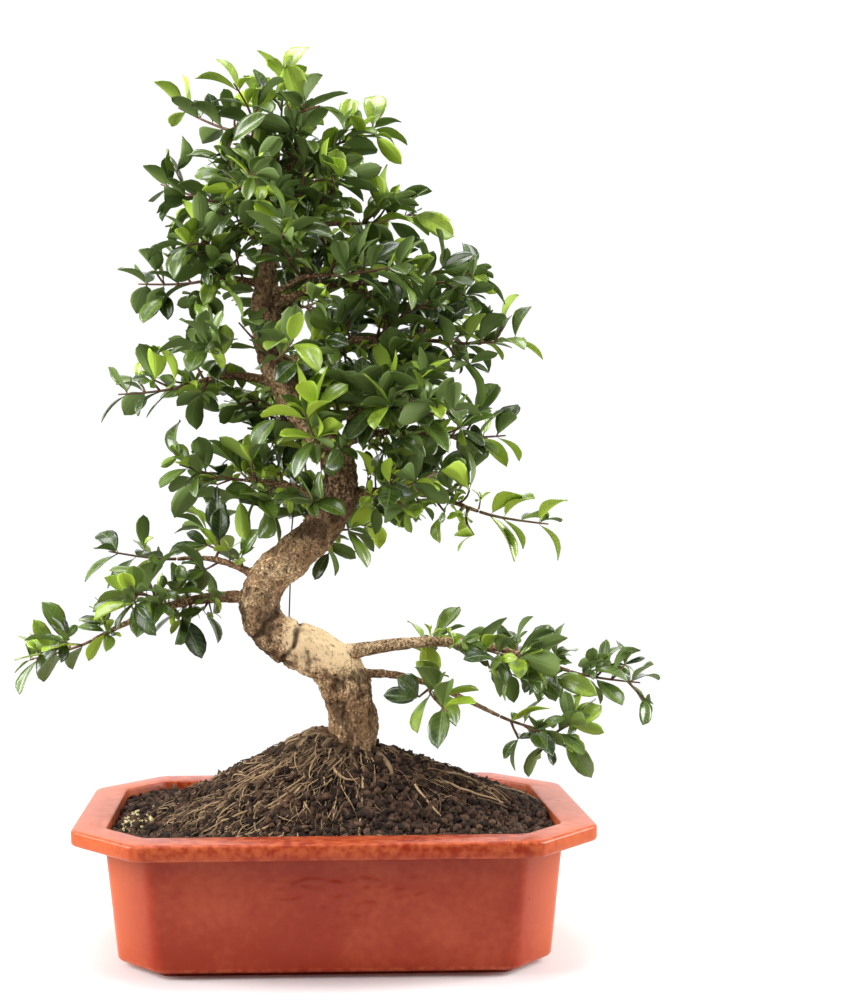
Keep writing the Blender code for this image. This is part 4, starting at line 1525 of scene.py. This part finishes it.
class BONSAI_OT_stage(bpy.types.Operator):
    """Make the floor, lights, surround and camera"""
    bl_idname = "bonsai.stage"
    bl_label = "Stage"

    def execute(self, context):
        stage = settings(context, "stage")
        floor = placed("floor", self.floor_mesh())
        context.scene.world = self.surround(stage)
        context.scene.view_settings.view_transform = "Standard"
        lights = {name: add_light(name, place, size, getattr(stage, name + "_power"))
                  for name, place, size in PANELS}
        keep_off(lights["front"], floor)
        data = bpy.data.cameras.new("camera")
        data.lens = stage.lens
        data.sensor_width = 36.0
        data.shift_x = stage.shift
        data.clip_start = 0.01
        camera = placed("camera", data)
        camera.location = stage.camera_place
        camera.rotation_euler = (math.pi / 2 + stage.camera_tilt, stage.camera_roll, stage.camera_turn)
        context.scene.camera = camera
        return {"FINISHED"}

    def floor_mesh(self):
        """A round pale floor that fades into the surround at its edge."""
        builder = Builder()
        angles = [2 * math.pi * k / FLOOR_STEPS for k in range(FLOOR_STEPS)]
        ring = [Vector((math.cos(angle), math.sin(angle), 0)) * FLOOR_RADIUS for angle in angles]
        builder.add(ring, [tuple(range(FLOOR_STEPS))])
        mesh = builder.mesh("floor")
        shader = Shader("studio_floor", 0.8, Specular_IOR_Level=0.1)
        pale = shader.mix(shader.noise(2.0, 2.0), (0.93, 0.93, 0.93), (0.95, 0.95, 0.95))
        away = shader.nodes.new("ShaderNodeVectorMath")
        away.operation = "LENGTH"
        shader.put(away.inputs[0], shader.place())
        fade = shader.ramp(away.outputs["Value"], FLOOR_GONE, FLOOR_SOLID)
        shader.put(shader.principled.inputs["Alpha"], fade)
        mesh.materials.append(shader.finish(pale))
        return mesh

    def surround(self, stage):
        """A white surround that lights the object more softly than it looks."""
        world = bpy.data.worlds.new("studio_surround")
        world.use_nodes = True
        nodes = world.node_tree.nodes
        background = nodes["Background"]
        background.inputs["Color"].default_value = (1.0, 1.0, 1.0, 1.0)
        path = nodes.new("ShaderNodeLightPath")
        strength = nodes.new("ShaderNodeMapRange")
        strength.inputs["To Min"].default_value = stage.surround
        strength.inputs["To Max"].default_value = SURROUND_SEEN
        world.node_tree.links.new(path.outputs["Is Camera Ray"], strength.inputs["Value"])
        world.node_tree.links.new(strength.outputs["Result"], background.inputs["Strength"])
        return world


OPERATORS = (BONSAI_OT_stage, BONSAI_OT_pot, BONSAI_OT_root_ball, BONSAI_OT_soil_litter,
             BONSAI_OT_wood, BONSAI_OT_training_wire, BONSAI_OT_foliage)
GROUPS = {"pot": BonsaiPotSettings, "soil": BonsaiSoilSettings, "wood": BonsaiWoodSettings,
          "leaf": BonsaiLeafSettings, "stage": BonsaiStageSettings}


class BONSAI_PT_parts(bpy.types.Panel):
    """The bonsai's parts, in the order they are made"""
    bl_label = "Bonsai"
    bl_idname = "BONSAI_PT_parts"
    bl_space_type = "VIEW_3D"
    bl_region_type = "UI"
    bl_category = "Bonsai"

    def draw(self, context):
        for operator in OPERATORS:
            self.layout.operator(operator.bl_idname)


def register():
    """Register the settings, the operators and the panel."""
    for group in GROUPS.values():
        bpy.utils.register_class(group)
    for name, group in GROUPS.items():
        setattr(bpy.types.Scene, "bonsai_" + name, PointerProperty(type=group))
    for operator in OPERATORS:
        bpy.utils.register_class(operator)
    bpy.utils.register_class(BONSAI_PT_parts)


def unregister():
    """Take everything back out, last first."""
    bpy.utils.unregister_class(BONSAI_PT_parts)
    for operator in reversed(OPERATORS):
        bpy.utils.unregister_class(operator)
    for name in GROUPS:
        delattr(bpy.types.Scene, "bonsai_" + name)
    for group in reversed(GROUPS.values()):
        bpy.utils.unregister_class(group)


def main():
    """Make every piece."""
    register()
    for operator in OPERATORS:
        name = operator.bl_idname.split(".")[1]
        if getattr(bpy.ops.bonsai, name)() != {"FINISHED"}:
            raise RuntimeError(f"{operator.bl_label} was not made")


if __name__ == "__main__":
    main()
